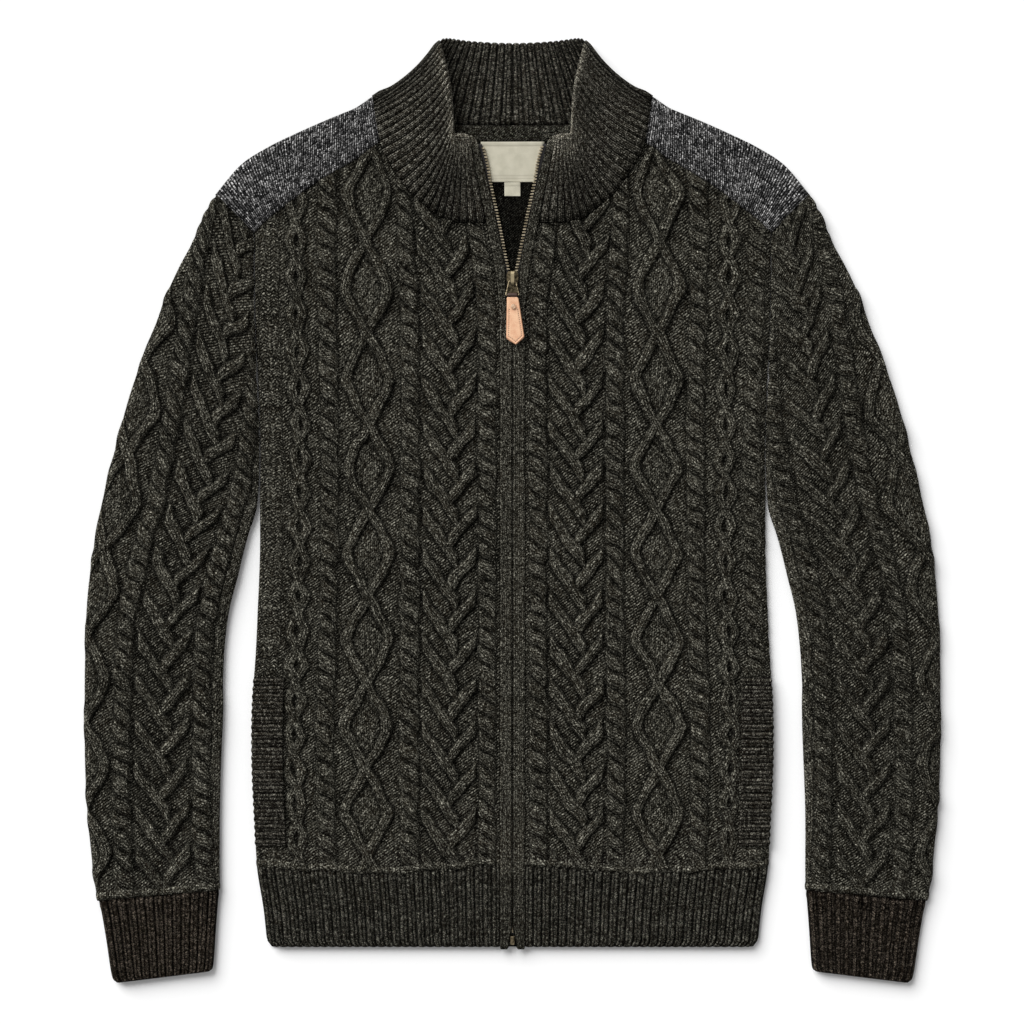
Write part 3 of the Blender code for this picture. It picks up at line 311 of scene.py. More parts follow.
# Fishbone: rows that fall one way and then the other, every 9 mm.
def fishbone(x, y):
    fold = np.abs((x + 4.5) % 9.0 - 4.5)
    z = 0.5 * np.cos(math.pi * fold / 4.5) ** 2
    return z, fold / stitch["width"], y / stitch["row"] - 0.5, 0.01 + 0 * x


# Stitches side by side: each strip of the chart fills its own width, with purl wherever none does.
def strips(x, y, chart, side):
    bentX, bentY = unevenly(x, y, 7 + side)
    z, across, along, knit = purlGround(x, y, side)
    for centre, half, make in chart:
        here = np.abs(bentX - centre) < half
        found = make(bentX - centre, bentY)
        knitted = here & (found[3] != 0)
        z, knit = np.where(here, found[0], z), np.where(here, found[3], knit)
        across, along = np.where(knitted, found[1], across), np.where(knitted, found[2], along)
    return z, across, along, knit


# y, course: a longer rhythm towards the shoulder, where the knit is drawn out
courseRows = [
    (-400.0, -398.0), (-145.8, -144.9), (1.3, 1.3), (73.5, 74.4), (151.0, 147.5), (230.0, 220.6),
    (360.0, 339.0),
]


# The front's strips, from the zip outwards. Cables lean the same way on both fronts, so side turns them.
def frontChart(side):
    zipRope = lambda x, y: ropeCable(x * side, y, 7.6, 14.6, 3.2, 0.75)
    rope = lambda x, y: ropeCable(x * side, y, 7.7, 15.2, 3.4, 0.85)
    chevron = lambda x, y: chevronCable(x, y, side, courses["chevron"], 3.4)
    diamond = lambda x, y: diamondCable(x, y, side, 19.6, courses["diamond"], 3.2, 4.3)
    chain = lambda x, y: diamondCable(x, y, side, 6.4, 29.3, 2.5, 3.8, False)
    edge = (lambda x, y: ropeCable(x * side, y, 7.4, 14.2, 2.9)) if side > 0 else fishbone
    return [
        (21.6, 7.8, zipRope), (54.0, 23.4, chevron), (87.0, 7.9, rope), (122.6, 25.0, diamond),
        (156.2, 7.9, rope), (181.5, 11.5, chain), (204.5, 8.5, edge),
    ]


# The sleeve's strips, measured across from its cable's middle, outer fold on the negative side.
def sleeveChart(side):
    rope = lambda x, y: ropeCable(x * -side, y, 7.6, 15.2, 3.5, 0.85)
    chevron = lambda x, y: chevronCable(x, y, -side, courses["chevron"], 3.1)
    diamond = lambda x, y: diamondCable(x, y, -side, 19.0, courses["diamond"], 3.1, 4.3)
    return [
        (0.0, 23.4, chevron), (-34.0, 8.0, rope), (34.0, 8.0, rope), (-66.0, 24.0, diamond),
        (57.0, 14.0, mossGround),
    ]


# How high each place stands over its surroundings, from 0 to 1: 0.5 + (z - its own average nearby) / reach.
def standing(z, cells=2, reach=2.4):
    soft = z
    for axis in (0, 1):
        for _ in range(3):
            wide = np.pad(soft, [(cells, cells) if k == axis else (0, 0) for k in (0, 1)], mode="edge")
            total = np.cumsum(np.insert(wide, 0, 0, axis=axis), axis=axis)
            upper = np.take(total, np.arange(2 * cells + 1, total.shape[axis]), axis=axis)
            lower = np.take(total, np.arange(0, total.shape[axis] - 2 * cells - 1), axis=axis)
            soft = (upper - lower) / (2 * cells + 1)
    return np.clip(0.5 + (z - soft) / reach, 0, 1)


# Ribs as raised half-rounds with narrow grooves between: |cos| to a power, with knit columns along each.
def ribs(phase, along, height, groove=0.5, columns=1, row=2.0):
    ridge = np.abs(np.cos(math.pi * phase)) ** groove
    return height * ridge, (phase + 0.5) * columns, along / row, 1.0 + 0 * phase


# meshes
# Points in mm, quads as an array, ends with more corners, and each attribute a vector for every point.
def meshPiece(name, points, quads, attributes, ends=(), body="garment", smooth=True):
    mesh = bpy.data.meshes.new(name)
    faces = quads.tolist() + [end.tolist() for end in ends]
    mesh.from_pydata((points.reshape(-1, 3) * mm).tolist(), [], faces)
    mesh.polygons.foreach_set("use_smooth", [smooth] * len(mesh.polygons))
    for key, values in attributes.items():
        data = mesh.attributes.new(key, "FLOAT_VECTOR", "POINT")
        data.data.foreach_set("vector", np.asarray(values, np.float32).ravel())
    mesh.update()
    piece = bpy.data.objects.new(name, mesh)
    bpy.context.scene.collection.objects.link(piece)
    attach(piece, body)
    return piece


# Point numbers laid out as a grid.
def indexGrid(rows, columns, start=0):
    return np.arange(rows * columns).reshape(rows, columns) + start


# Quads between neighbouring rows and columns of an index grid.
def gridFaces(index):
    corners = (index[:-1, :-1], index[:-1, 1:], index[1:, 1:], index[1:, :-1])
    return np.stack([corner.ravel() for corner in corners], axis=1)


# A grid's rim, once round.
def rimOf(grid):
    return np.concatenate([grid[0, :-1], grid[:-1, -1], grid[-1, :0:-1], grid[:0:-1, 0]])


# A grid of rings, with each ring's first point once more at its end.
def closedRound(grid):
    return np.concatenate([grid, grid[:, :1]], axis=1)


# A closed wall: the grid of top points, its rim carried down to the floor, and the floor as one face.
def wallPiece(name, top, floor, weave, side=1):
    index = indexGrid(*top.shape[:2])
    rim = rimOf(index)
    points = top.reshape(-1, 3)
    lower = points[rim]
    lower[:, 2] = floor
    under = np.arange(len(rim)) + len(points)
    skirt = np.stack([np.roll(rim, -1), rim, under, np.roll(under, -1)], axis=1)
    quads = np.concatenate([gridFaces(index), skirt])[:, ::side]
    weave = {key: np.concatenate([v.reshape(-1, 3), v.reshape(-1, 3)[rim]]) for key, v in weave.items()}
    return meshPiece(name, np.concatenate([points, lower]), quads, weave, [under[::-side]])


# A tube's outer and inner skins with the same ring counts, joined at both ends.
def tubePiece(name, outer, inner, weave, side=1):
    rows, count = outer.shape[:2]
    index, inside = indexGrid(rows, count), indexGrid(len(inner), count, rows * count)
    joins = [np.stack([inside[0], index[0]]), np.stack([index[-1], inside[-1]])]
    quads = [gridFaces(closedRound(grid)) for grid in (index, inside, *joins)]
    quads[1] = quads[1][:, ::-1]
    near = np.round(np.linspace(0, rows - 1, len(inner))).astype(int)
    weave = {key: np.concatenate([v.reshape(-1, 3), v[near].reshape(-1, 3)]) for key, v in weave.items()}
    points = np.concatenate([outer.reshape(-1, 3), inner.reshape(-1, 3)])
    return meshPiece(name, points, np.concatenate(quads)[:, ::side], weave)


# Attributes for the yarns: stitch = across, along, knit; shade = painted shade from relief, 0 to 1, and
# painted light.
def packWeave(across, along, knit, relief, top, paintedLight=0.0):
    full = np.zeros(top.shape[:2])
    return {
        "stitch": pointsOf(across + full, along, knit),
        "shade": pointsOf(np.clip(relief, 0, 1) + full, paintedLight, 0),
    }


# Hides the node that a piece replaces, if any, and gives the piece its material.
def dress(piece, node, material):
    if node:
        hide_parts(node)
    piece.data.materials.append(material)


# Dresses cloth like any piece: hides the node it replaces and gives it its material.
def dressCloth(piece, node, material):
    dress(piece, node, material)


# materials
# One material with its shader, and short ways to add nodes and join them.
class Wires:

    def __init__(self, name, roughness, metallic=0.0, sheen=0.0, specular=0.3):
        self.material = bpy.data.materials.new(name)
        self.material.use_nodes = True
        self.tree = self.material.node_tree
        self.shader = self.tree.nodes["Principled BSDF"]
        start = {"Roughness": roughness, "Metallic": metallic, "Sheen Weight": sheen}
        start |= {"Sheen Roughness": 0.6, "Specular IOR Level": specular}
        for key, value in start.items():
            self.shader.inputs[key].default_value = value

    def node(self, kind, **values):
        made = self.tree.nodes.new(kind)
        for key, value in values.items():
            setattr(made, key, value)
        return made

    def feed(self, socket, value):
        if isinstance(value, bpy.types.NodeSocket):
            self.tree.links.new(value, socket)
        else:
            socket.default_value = value

    # Feeds several sockets, by number or by name, and returns the node's output.
    def wired(self, made, values, output=0):
        for key, value in values.items():
            self.feed(made.inputs[key], value)
        return made.outputs[output]

    def calc(self, operation, a, b=0.0, c=0.0, clamp=False):
        made = self.node("ShaderNodeMath", operation=operation, use_clamp=clamp)
        return self.wired(made, {0: a, 1: b, 2: c})

    def times(self, a, b, clamp=False):
        return self.calc("MULTIPLY", a, b, clamp=clamp)

    def timesPlus(self, a, b, c):
        return self.calc("MULTIPLY_ADD", a, b, c)

    def plus(self, a, b):
        return self.calc("ADD", a, b)

    def minus(self, a, b):
        return self.calc("SUBTRACT", a, b)

    def power(self, a, b):
        return self.calc("POWER", a, b)

    def sine(self, a):
        return self.calc("SINE", a)

    def size(self, a):
        return self.calc("ABSOLUTE", a)

    def part(self, a):
        return self.calc("FRACT", a)

    def whole(self, a):
        return self.calc("FLOOR", a)

    # Mix of two numbers.
    def mix(self, factor, a, b):
        return self.wired(self.node("ShaderNodeMix", data_type="FLOAT"), {0: factor, 2: a, 3: b})

    # Mix of two colours.
    def blend(self, factor, a, b, kind="MIX"):
        made = self.node("ShaderNodeMix", data_type="RGBA", blend_type=kind)
        return self.wired(made, {0: factor, 6: a, 7: b}, 2)

    def combine(self, x, y, z=0.0):
        return self.wired(self.node("ShaderNodeCombineXYZ"), {0: x, 1: y, 2: z})

    def separate(self, vector):
        made = self.node("ShaderNodeSeparateXYZ")
        self.feed(made.inputs[0], vector)
        return made.outputs

    def attribute(self, name):
        return self.node("ShaderNodeAttribute", attribute_name=name).outputs["Vector"]

    def place(self):
        return self.node("ShaderNodeTexCoord").outputs["Object"]

    def noise(self, vector, scale, detail=2.0, roughness=0.5):
        values = {"Vector": vector, "Scale": scale, "Detail": detail, "Roughness": roughness}
        return self.wired(self.node("ShaderNodeTexNoise"), values, "Fac")

    def whiteNoise(self, vector):
        return self.wired(self.node("ShaderNodeTexWhiteNoise"), {"Vector": vector}, "Value")

    # 0 at low, 1 at high, smooth between.
    def ramp(self, value, low, high):
        made = self.node("ShaderNodeMapRange", interpolation_type="SMOOTHSTEP")
        return self.wired(made, {0: value, 1: low, 2: high, 3: 0.0, 4: 1.0})

    # Colour and bump into the shader, with the bump's distance in mm.
    def finish(self, colour, height, distance, strength=1.0):
        values = {"Strength": strength, "Distance": distance * mm, "Height": height}
        self.feed(self.shader.inputs["Normal"], self.wired(self.node("ShaderNodeBump"), values))
        self.feed(self.shader.inputs["Base Color"], colour)
        return self.material


# Yarn height in one stitch. Knit: two legs that rise outwards. Purl: slanted dashes, broken at every stitch.
def stitchHeight(w, across, along, knit, climbRate, sharp):
    offset = w.size(w.minus(w.part(across), 0.5))
    legs = w.power(w.sine(w.times(offset, 2 * math.pi)), sharp)
    climb = w.minus(along, w.times(offset, climbRate))
    loops = w.power(w.sine(w.times(w.part(climb), math.pi)), 0.8)
    knitYarn = w.times(legs, w.timesPlus(loops, 0.75, 0.25))
    dashRow = w.timesPlus(across, -1.15, along)
    dash = w.power(w.sine(w.times(w.part(dashRow), math.pi)), 1.2)
    stagger = w.timesPlus(w.whole(dashRow), 0.5, across)
    gap = w.size(w.sine(w.times(stagger, math.pi)))
    purlYarn = w.times(dash, w.timesPlus(w.power(gap, 0.7), 0.85, 0.15))
    return w.mix(knit, purlYarn, knitYarn)


# Marled wool: painted shade between the yarns and in hollows, painted light, each stitch its own tone, light
# flecks.
def yarnMaterial(name, look):
    w = Wires(name, 1.0, 0.0, look["sheen"], 0.02)
    across, along, knit = w.separate(w.attribute("stitch"))
    relief, paintedLight, _ = w.separate(w.attribute("shade"))
    across = w.timesPlus(w.noise(w.place(), 190.0, 1.0), look["wander"], across)
    along = w.timesPlus(w.noise(w.place(), 170.0, 1.0), look["wander"], along)
    yarn = stitchHeight(w, across, along, knit, look["climb"], look["sharp"])
    loopTone = w.whiteNoise(w.combine(w.whole(w.times(across, 2.0)), w.whole(along)))
    fleckPlace = [w.times(place, rate) for place, rate in zip((across, along), look["fleck"])]
    fleck = w.noise(w.combine(*fleckPlace, knit), 1.0, 3.0, 0.7)
    fine = w.noise(w.place(), 900.0, 2.0, 0.80)
    broad = w.noise(w.place(), 38.0, 3.0, 0.5)
    felted = w.ramp(w.noise(w.place(), 60.0, 2.0, 0.5), 0.38, 0.62)
    tone = w.timesPlus(fine, look["fuzz"], 0.5 - 0.5 * look["fuzz"] - 0.575)
    tone = w.plus(tone, w.timesPlus(loopTone, 0.25, w.times(fleck, 0.9)))
    base = w.blend(w.ramp(broad, 0.35, 0.65), look["dark"], look["brown"])
    base = w.blend(w.ramp(tone, *look["midRange"]), base, look["mid"])
    base = w.blend(w.ramp(tone, *look["fleckRange"]), base, look["light"])
    # Painted shade between the yarns and in the relief's hollows, and painted light from the shade attribute.
    gapTone = w.mix(felted, look["gap"], look["gap"] + look["felt"])
    gapShade = w.mix(w.ramp(yarn, 0.05, 0.80), gapTone, 1.0)
    reliefShade = w.mix(w.ramp(relief, 0.0, look["level"]), look["valley"], 1.10)
    fluff = w.timesPlus(w.noise(w.place(), 500.0, 1.0, 0.80), look["fluff"], 1 - 0.5 * look["fluff"])
    fluff = w.calc("MAXIMUM", fluff, 0.08)
    lit = w.times(w.times(gapShade, fluff), w.times(reliefShade, w.plus(paintedLight, 1.0)))
    w.shader.inputs["Sheen Tint"].default_value = look["light"]
    colour = w.blend(1.0, base, w.combine(lit, lit, lit), "MULTIPLY")
    return w.finish(colour, w.timesPlus(fine, 0.7, yarn), look["bump"])


# valley and level set the painted shade in the relief's hollows; gap and felt the painted shade between
# yarns.
wool = dict(
    dark=(0.0115, 0.0102, 0.0074, 1), brown=(0.016, 0.0127, 0.0083, 1), mid=(0.0675, 0.0645, 0.0495, 1),
    light=(0.280, 0.270, 0.222, 1), midRange=(0.34, 0.62), fleckRange=(0.56, 0.86), fleck=(4.6, 1.9),
    fuzz=2.3, gap=0.10, felt=0.25, fluff=3.6, valley=0.28, level=0.66, wander=0.25, climb=2.6, sharp=0.9,
    bump=1.0, sheen=0.01,
)


# The same yarn in another tone: every colour times its own share of red, green and blue.
def toned(look, *shares, **changes):
    tones = ("dark", "brown", "mid", "light")
    colours = {key: tuple(c * k for c, k in zip(look[key], (*shares, 1))) for key in tones}
    return dict(look, **colours, **changes)


ribWool = toned(wool, 0.61, 0.61, 0.62, valley=0.08, level=0.76, fluff=3.0, fleck=(7.0, 1.1), felt=0.1)
cuffWool = toned(ribWool, 0.75, 0.64, 0.61)
collarWool = toned(ribWool, 1.83, 1.81, 1.82, valley=0.05, level=0.66, fleck=(3.6, 1.0))
weltWool = toned(collarWool, 0.63, 0.62, 0.62)
bandWool = toned(wool, 0.90, 0.90, 0.90, valley=0.24, gap=0.25, wander=0.5, fleck=(4.2, 1.4))
slateWool = dict(
    wool, dark=(0.015, 0.0152, 0.016, 1), brown=(0.022, 0.022, 0.0225, 1), mid=(0.112, 0.110, 0.109, 1),
    light=(0.65, 0.64, 0.63, 1), midRange=(0.36, 0.58), fleckRange=(0.50, 0.78), fleck=(3.0, 1.0), fuzz=1.2,
    gap=0.03, felt=0.12, fluff=2.6, valley=0.6, climb=0.9, sharp=1.5,
)

cableYarn = yarnMaterial("cable yarn", wool)
ribYarn = yarnMaterial("rib yarn", ribWool)
cuffYarn = yarnMaterial("cuff yarn", cuffWool)
collarYarn = yarnMaterial("collar yarn", collarWool)
weltYarn = yarnMaterial("welt yarn", weltWool)
bandYarn = yarnMaterial("band yarn", bandWool)
patchYarn = yarnMaterial("patch yarn", slateWool)


# Herringbone zip tape, near black.
def tapeMaterial():
    w = Wires("tape weave", 0.85, 0.0, 0.15, 0.2)
    x, y, _ = w.separate(w.place())
    slant = w.size(w.sine(w.times(x, 2300.0)))
    twill = w.sine(w.timesPlus(slant, 2.2, w.times(y, 7000.0)))
    colour = w.blend(w.ramp(twill, -1.0, 1.0), (0.006, 0.0055, 0.006, 1), (0.020, 0.018, 0.018, 1))
    return w.finish(colour, twill, 0.12, 0.8)


# Old metal: mottled at random between dull and bright, with fine scratches. ridge is half the width of a
# painted highlight.
def metalMaterial(name, dull, bright, metallic=1.0, ridge=0.0):
    w = Wires(name, 0.4, metallic)
    x, y, z = w.separate(w.place())
    wear = w.noise(w.place(), 420.0, 4.0, 0.6)
    scratch = w.noise(w.combine(w.times(x, 5000.0), w.times(y, 500.0), w.times(z, 900.0)), 1.0, 2.0)
    colour = w.blend(w.ramp(wear, 0.38, 0.66), dull, bright)
    if ridge:  # painted highlight along the middle of its upper part
        middle = w.minus(1.0, w.ramp(w.size(x), 0.6 * ridge, 1.4 * ridge))
        paintedHighlight = w.times(middle, w.ramp(y, 0.190, 0.196))
        colour = w.blend(w.times(paintedHighlight, 0.65), colour, (0.58, 0.48, 0.30, 1))
    w.feed(w.shader.inputs["Roughness"], w.mix(w.ramp(wear, 0.3, 0.7), 0.58, 0.40))
    return w.finish(colour, scratch, 0.05, 0.5)


# Tan leather: fine pores, soft mottling, darker rims, painted shade in the stitch channel, painted shadow on
# the loop.
def leatherMaterial():
    w = Wires("tan leather", 0.5, 0.0, 0.0, 0.4)
    pores = w.wired(w.node("ShaderNodeTexVoronoi"), {"Vector": w.place(), "Scale": 1500.0}, "Distance")
    mottle = w.noise(w.place(), 160.0, 4.0, 0.6)
    rim, loopShadow, _ = w.separate(w.attribute("shade"))
    colour = w.blend(w.ramp(mottle, 0.3, 0.7), (0.68, 0.37, 0.22, 1), (0.81, 0.51, 0.32, 1))
    colour = w.blend(w.times(rim, 0.50, clamp=True), colour, (0.42, 0.18, 0.09, 1))
    colour = w.blend(loopShadow, colour, (0.030, 0.014, 0.009, 1))
    w.feed(w.shader.inputs["Roughness"], w.mix(mottle, 0.62, 0.42))
    return w.finish(colour, w.plus(pores, w.times(mottle, 1.5)), 0.12, 0.6)


# Woven cream label: fine warp and weft with tonal rules near its edges.
def labelMaterial():
    w = Wires("woven label", 0.7, 0.0, 0.2, 0.3)
    x, y, _ = w.separate(w.place())
    weave = w.times(w.sine(w.times(x, 12000.0)), w.sine(w.times(y, 12000.0)))
    rule = w.separate(w.attribute("shade"))[0]
    mottle = w.ramp(w.noise(w.place(), 90.0, 3.0), 0.3, 0.7)
    colour = w.blend(mottle, (0.42, 0.395, 0.30, 1), (0.51, 0.48, 0.375, 1))
    colour = w.blend(w.times(w.ramp(weave, -0.4, 0.9), 0.25), colour, (0.64, 0.615, 0.52, 1))
    return w.finish(w.blend(w.times(rule, 0.6), colour, (0.30, 0.27, 0.21, 1)), weave, 0.06, 0.6)


# Twisted sewing thread.
def threadMaterial(name, colour):
    w = Wires(name, 0.6, 0.0, 0.3)
    twist = w.noise(w.place(), 3000.0, 2.0)
    bright = tuple(min(1.0, c * 1.5) for c in colour[:3]) + (1,)
    return w.finish(w.blend(twist, colour, bright), twist, 0.05)


tapeCloth = tapeMaterial()
brass = metalMaterial("antique brass", (0.05, 0.040, 0.025, 1), (0.33, 0.27, 0.17, 1))
slider = metalMaterial("slider brass", (0.04, 0.032, 0.020, 1), (0.22, 0.18, 0.11, 1), ridge=0.0016)
wornBrass = metalMaterial("worn brass", (0.20, 0.165, 0.105, 1), (0.66, 0.57, 0.41, 1))
copper = metalMaterial("rivet copper", (0.50, 0.31, 0.19, 1), (0.90, 0.64, 0.45, 1), 0.5)
leather = leatherMaterial()
labelCloth = labelMaterial()
tanThread = threadMaterial("tan thread", (0.30, 0.205, 0.135, 1))
print("materials made")

# fronts: welt is its lower y, upper y and inner place
fronts = dict(
    columns=206, rows=424, inner=10.95, seamDip=1.4, dipReach=5.0, waves=0.5, welt=(-284.4, -140.7, 190.4),
)


# The upper edge: under the collar near the zip, then under the shoulder patch.
def frontTop(x):
    corner = neckRows[-1][0]
    lower = [(row[0], row[1]) for row in patchRows]
    return np.where(x < corner, straightAt(x, neckRows) + 0.2, straightAt(x, lower) - 0.2)


# Quarter circle from 0 at the edge to 1 at reach.
def edgeRise(distance, reach):
    return dome(1 - np.clip(distance / reach, 0, 1))


# The front hem's seam: the straight line, bowed as it lies and waved under the cables.
def hemSeamAt(x, side):
    return hem["seam"] + smoothAt(x, hemSeamRows, 1) + 0.7 * np.sin(x / 7.1 + 2 * side)


# A rolled row of turned stitches over the rib: a round ridge 3.4 above the seam, waving with the cables.
def hemRidge(above, place, turn):
    wave = 1.1 * np.sin(place / 9.3 + turn) + 0.6 * np.sin(place / 4.1)
    return 1.7 * dome((above - 3.4 - 0.5 * wave) / 3.3) * (0.75 + 0.25 * np.sin(place / 3.3))


# Painted highlight on the ridge's stitches in short dashes, one every 3 mm, and painted shade along the seam.
def rowPaintedLight(above, place):
    dashes = 0.5 + 0.5 * np.sin(place * 2.1 + 1.4 * above)
    return 0.35 * bell(above - 3.8, 1.7) * dashes - 0.25 * bell(above, 1.4)


# x runs from the band to the side seam and y from the hem seam to the top, solved together by repetition.
def makeFront(name, side):
    s, t = alongRow(0, 1, fronts["columns"]), downColumn(0, 1, fronts["rows"])
    place = fronts["inner"] + (courses["halfChest"] - fronts["inner"]) * s + 0 * t
    y = hem["seam"] + 560 * t + 0 * s
    for _ in range(12):
        x = placeToX(place, y)
        start = hemSeamAt(x, side)
        y = start + (frontTop(x) - start) * t
    course = straightAt(y, courseRows) - courses["rowZero"]
    z, across, along, knit = strips(place, course, frontChart(side), side)

    # flat under the welt, a rolled row over the hem, and cables that swell the side edge
    low, high, inner = fronts["welt"]
    welt = ease((place - inner + 6) / 6) * ease((y - low + 6) / 6) * ease((high + 6 - y) / 6)
    z = z * (1 - welt) * (1 + 0.18 * slowWaves(2.5 * x, 2.5 * y, 41 + side))
    above = y - hemSeamAt(x, side)
    z = z * (1 - 0.8 * bell(above, 10.0)) + hemRidge(above, place, side)
    knit = np.where(above < 7.0, 0.5, knit)
    # Painted shade in the relief's hollows, kept light beside the band.
    shade = np.maximum(standing(z), 0.55 * bell(place - fronts["inner"], 2.4))
    swell = 0.40 * (z[:, -9:-2].mean(axis=1, keepdims=True) - 0.8) * ease((place - 200.0) / 14.0)
    x = x + swell

    # the wall: its edge rounds off at the side, over a lip that is higher along the armhole
    lip = layers["lip"] + ease((y - 5.0) / 12.0)
    rise = edgeRise(bodySide(y) + swell - x, layers["edgeRound"])
    z = layers["frontFloor"] + lip + (layers["frontWall"] - lip + z) * rise
    dip = 0.35 * bell(frontTop(x) - y, fronts["dipReach"]) + 0.15 * bell(above, 1.6)
    z = z - fronts["seamDip"] * dip - 0.8 * creaseDepth(x, y)
    z = z + fronts["waves"] * slowWaves(x, y, 3 + side) * rise * (1 - welt)
    top = pointsOf(x * side, y, np.maximum(z, layers["frontFloor"] + layers["thinnest"]))
    # Painted shade in the seams' dips; painted light on the hem's ridge.
    weave = packWeave(across, along, knit, shade - 0.3 * dip, top, rowPaintedLight(above, place))
    piece = wallPiece(f"frontKnit_{name}", top, layers["frontFloor"], weave, side)
    dressCloth(piece, f"front_{name}", cableYarn)


# ribbed pieces of the body
ribbed = dict(
    hemColumns=337, hemRows=40, bandColumns=22, bandRows=360, weltColumns=26, weltRows=240, weltRibs=22,
)


# The hem's side edge, drawn in at its lowest 6 mm.
def hemSide(y):
    return bodySide(y) - 3.5 * ease((hem["bottom"] + 6.0 - y) / 6.0)


# Vertical ribs over a rounded lower edge that scallops with them, with a rolled ridge under the seam.
def makeHem(name, side):
    s, t = alongRow(0, 1, ribbed["hemColumns"]), downColumn(0, 1, ribbed["hemRows"])
    inner = courses["zipSide"]
    seam = hemSeamAt(inner + (bodySide(hem["seam"]) - inner) * s, side)
    y = hem["bottom"] + (seam + 0.5 - hem["bottom"]) * t
    outer = hemSide(y)
    x = inner + (outer - inner) * s
    y = y + 3.0 * ease((s - 0.975) / 0.025) * ease((hem["bottom"] + 12.0 - y) / 12.0)
    phase = s * hem["ribs"] + 0.5
    z, across, along, knit = ribs(phase + 0 * y, y, hem["relief"])
    scallop = 0.6 * np.abs(np.cos(math.pi * phase))
    y = y - (scallop - 0.6) * ease((hem["bottom"] + 4.0 - y) / 4.0)
    rise = edgeRise(y - hem["bottom"] + 0.3, 3.2) * edgeRise(outer - x, 4.0)
    ridge = 0.9 * bell(seam - 5.0 - y, 2.6) - 0.6 * bell(seam - y, 2.0)
    # Painted shade in the grooves between ribs, deeper along the seam.
    shade = z / hem["relief"] * (1 - 0.2 * bell(seam - y, 2.6))
    z = layers["frontFloor"] + 0.9 + (layers["frontWall"] - 1.4 + z + ridge) * rise
    top = pointsOf(x * side, y, np.maximum(z, layers["frontFloor"] + layers["thinnest"]))
    weave = packWeave(across, along, knit, shade, top)
    piece = wallPiece(f"hemRib_{name}", top, layers["frontFloor"], weave, side)
    dressCloth(piece, f"hem_front_{name}", ribYarn)


# The zip's band: three fine ribs along its length between its two edges.
def makeBand(name, side):
    low, high, width = bandRows[0][0], bandRows[-1][0], 10.3
    s, y = alongRow(0, 1, ribbed["bandColumns"]), downColumn(low, high, ribbed["bandRows"])
    inner, outer = straightAt(y, bandRows, 1), smoothAt(y, bandRows, 2)
    x = inner + (outer - inner) * s
    z, across, along, knit = ribs(s * 3 + 0.5 + 0 * y, y, 0.5, 0.6)
    ends = edgeRise(y - low + 0.2, 3.0) * (0.35 + 0.65 * edgeRise(high - y + 0.2, 4.0))
    rise = edgeRise((s + 0.02) * width, 1.1) * (0.35 + 0.65 * edgeRise((1.01 - s) * width, 2.6)) * ends
    top = pointsOf(x * side, y, layers["bandFloor"] + 0.5 + (0.9 + z) * rise)
    # Painted highlight on the band's rounded top, painted shade in its grooves and in a thin line where the
    # halves meet; darker in tone over the hem.
    paintedLight = 1.6 * ease((y - 306.0) / 8.0) - 0.32 * ease((hem["seam"] - y) / 10.0)
    paintedLight = paintedLight - 0.97 * bell(x - inner, 0.60)
    weave = packWeave(across, along, knit, 0.45 + z / 1.1, top, paintedLight)
    piece = wallPiece(f"zipBand_{name}", top, layers["bandFloor"], weave, side)
    dressCloth(piece, f"band_{name}", bandYarn)


# The pocket's welt: ribs across it, along the side seam.
def makeWelt(name, side):
    low, high, inner = fronts["welt"]
    s, y = alongRow(0, 1, ribbed["weltColumns"]), downColumn(low, high, ribbed["weltRows"])
    phase = (y - low) / (high - low) * ribbed["weltRibs"]
    start, end = placeToX(inner + 0 * y, y), bodySide(y) - 1.0 + 1.1 * np.abs(np.sin(math.pi * phase))
    x = start + (end - start) * s
    z, across, along, knit = ribs(phase + 0.5 + 0 * s, x, 1.2, 0.6)
    ends = edgeRise(y - low + 0.3, 2.0) * edgeRise(high - y + 0.3, 2.0)
    rise = edgeRise((s + 0.03) * 28, 2.2) * edgeRise((1.02 - s) * 28, 4.0) * ends
    floor = layers["frontFloor"] + layers["frontWall"] + 0.3
    top = pointsOf(x * side, y, floor + 0.5 + (0.9 + z) * rise)
    # Painted shade in the grooves between the ribs.
    piece = wallPiece(f"pocketWelt_{name}", top, floor, packWeave(across, along, knit, z / 1.2, top), side)
    dressCloth(piece, f"pocket_welt_{name}", weltYarn)


# The yoke patch: plain fine knit over the shoulder, its columns across from front edge to fold.
def makePatch(name, side):
    lines = spreadRows(patchRows, np.linspace(0, 1, 160))
    lines[0] += (-1.2, 0.9, -1.6, 1.0)  # both ends reach a little under their neighbours
    lines[-1] += (0.9, -0.9, 0.9, -0.9)
    t = alongRow(0, 1, 64)
    x, y = acrossLines(lines, t)
    width, run = widthOf(lines), runOf(lines)
    dip = 0.9 * bell(np.minimum(run, run[-1] - run), 3.0) + 0.9 * bell(t * width, 3.0)
    rise = edgeRise((1 - t) * width + 0.2, 7.0)
    wall = layers["frontWall"] - layers["lip"] + 1.0 + 0.5 * slowWaves(x, y, 11)
    z = layers["frontFloor"] + np.maximum(layers["lip"] + wall * rise - dip, 0.7)
    top = pointsOf(x * side, y, z)
    # Painted shade where the patch rounds off at its upper edge, and in the dips along its seams.
    weave = packWeave(run / 4.2, t * width / 3.4, 1.0, rise - 0.7 * dip, top)
    piece = wallPiece(f"shoulderPatch_{name}", top, layers["frontFloor"], weave, -side)
    dressCloth(piece, f"shoulder_{name}", patchYarn)


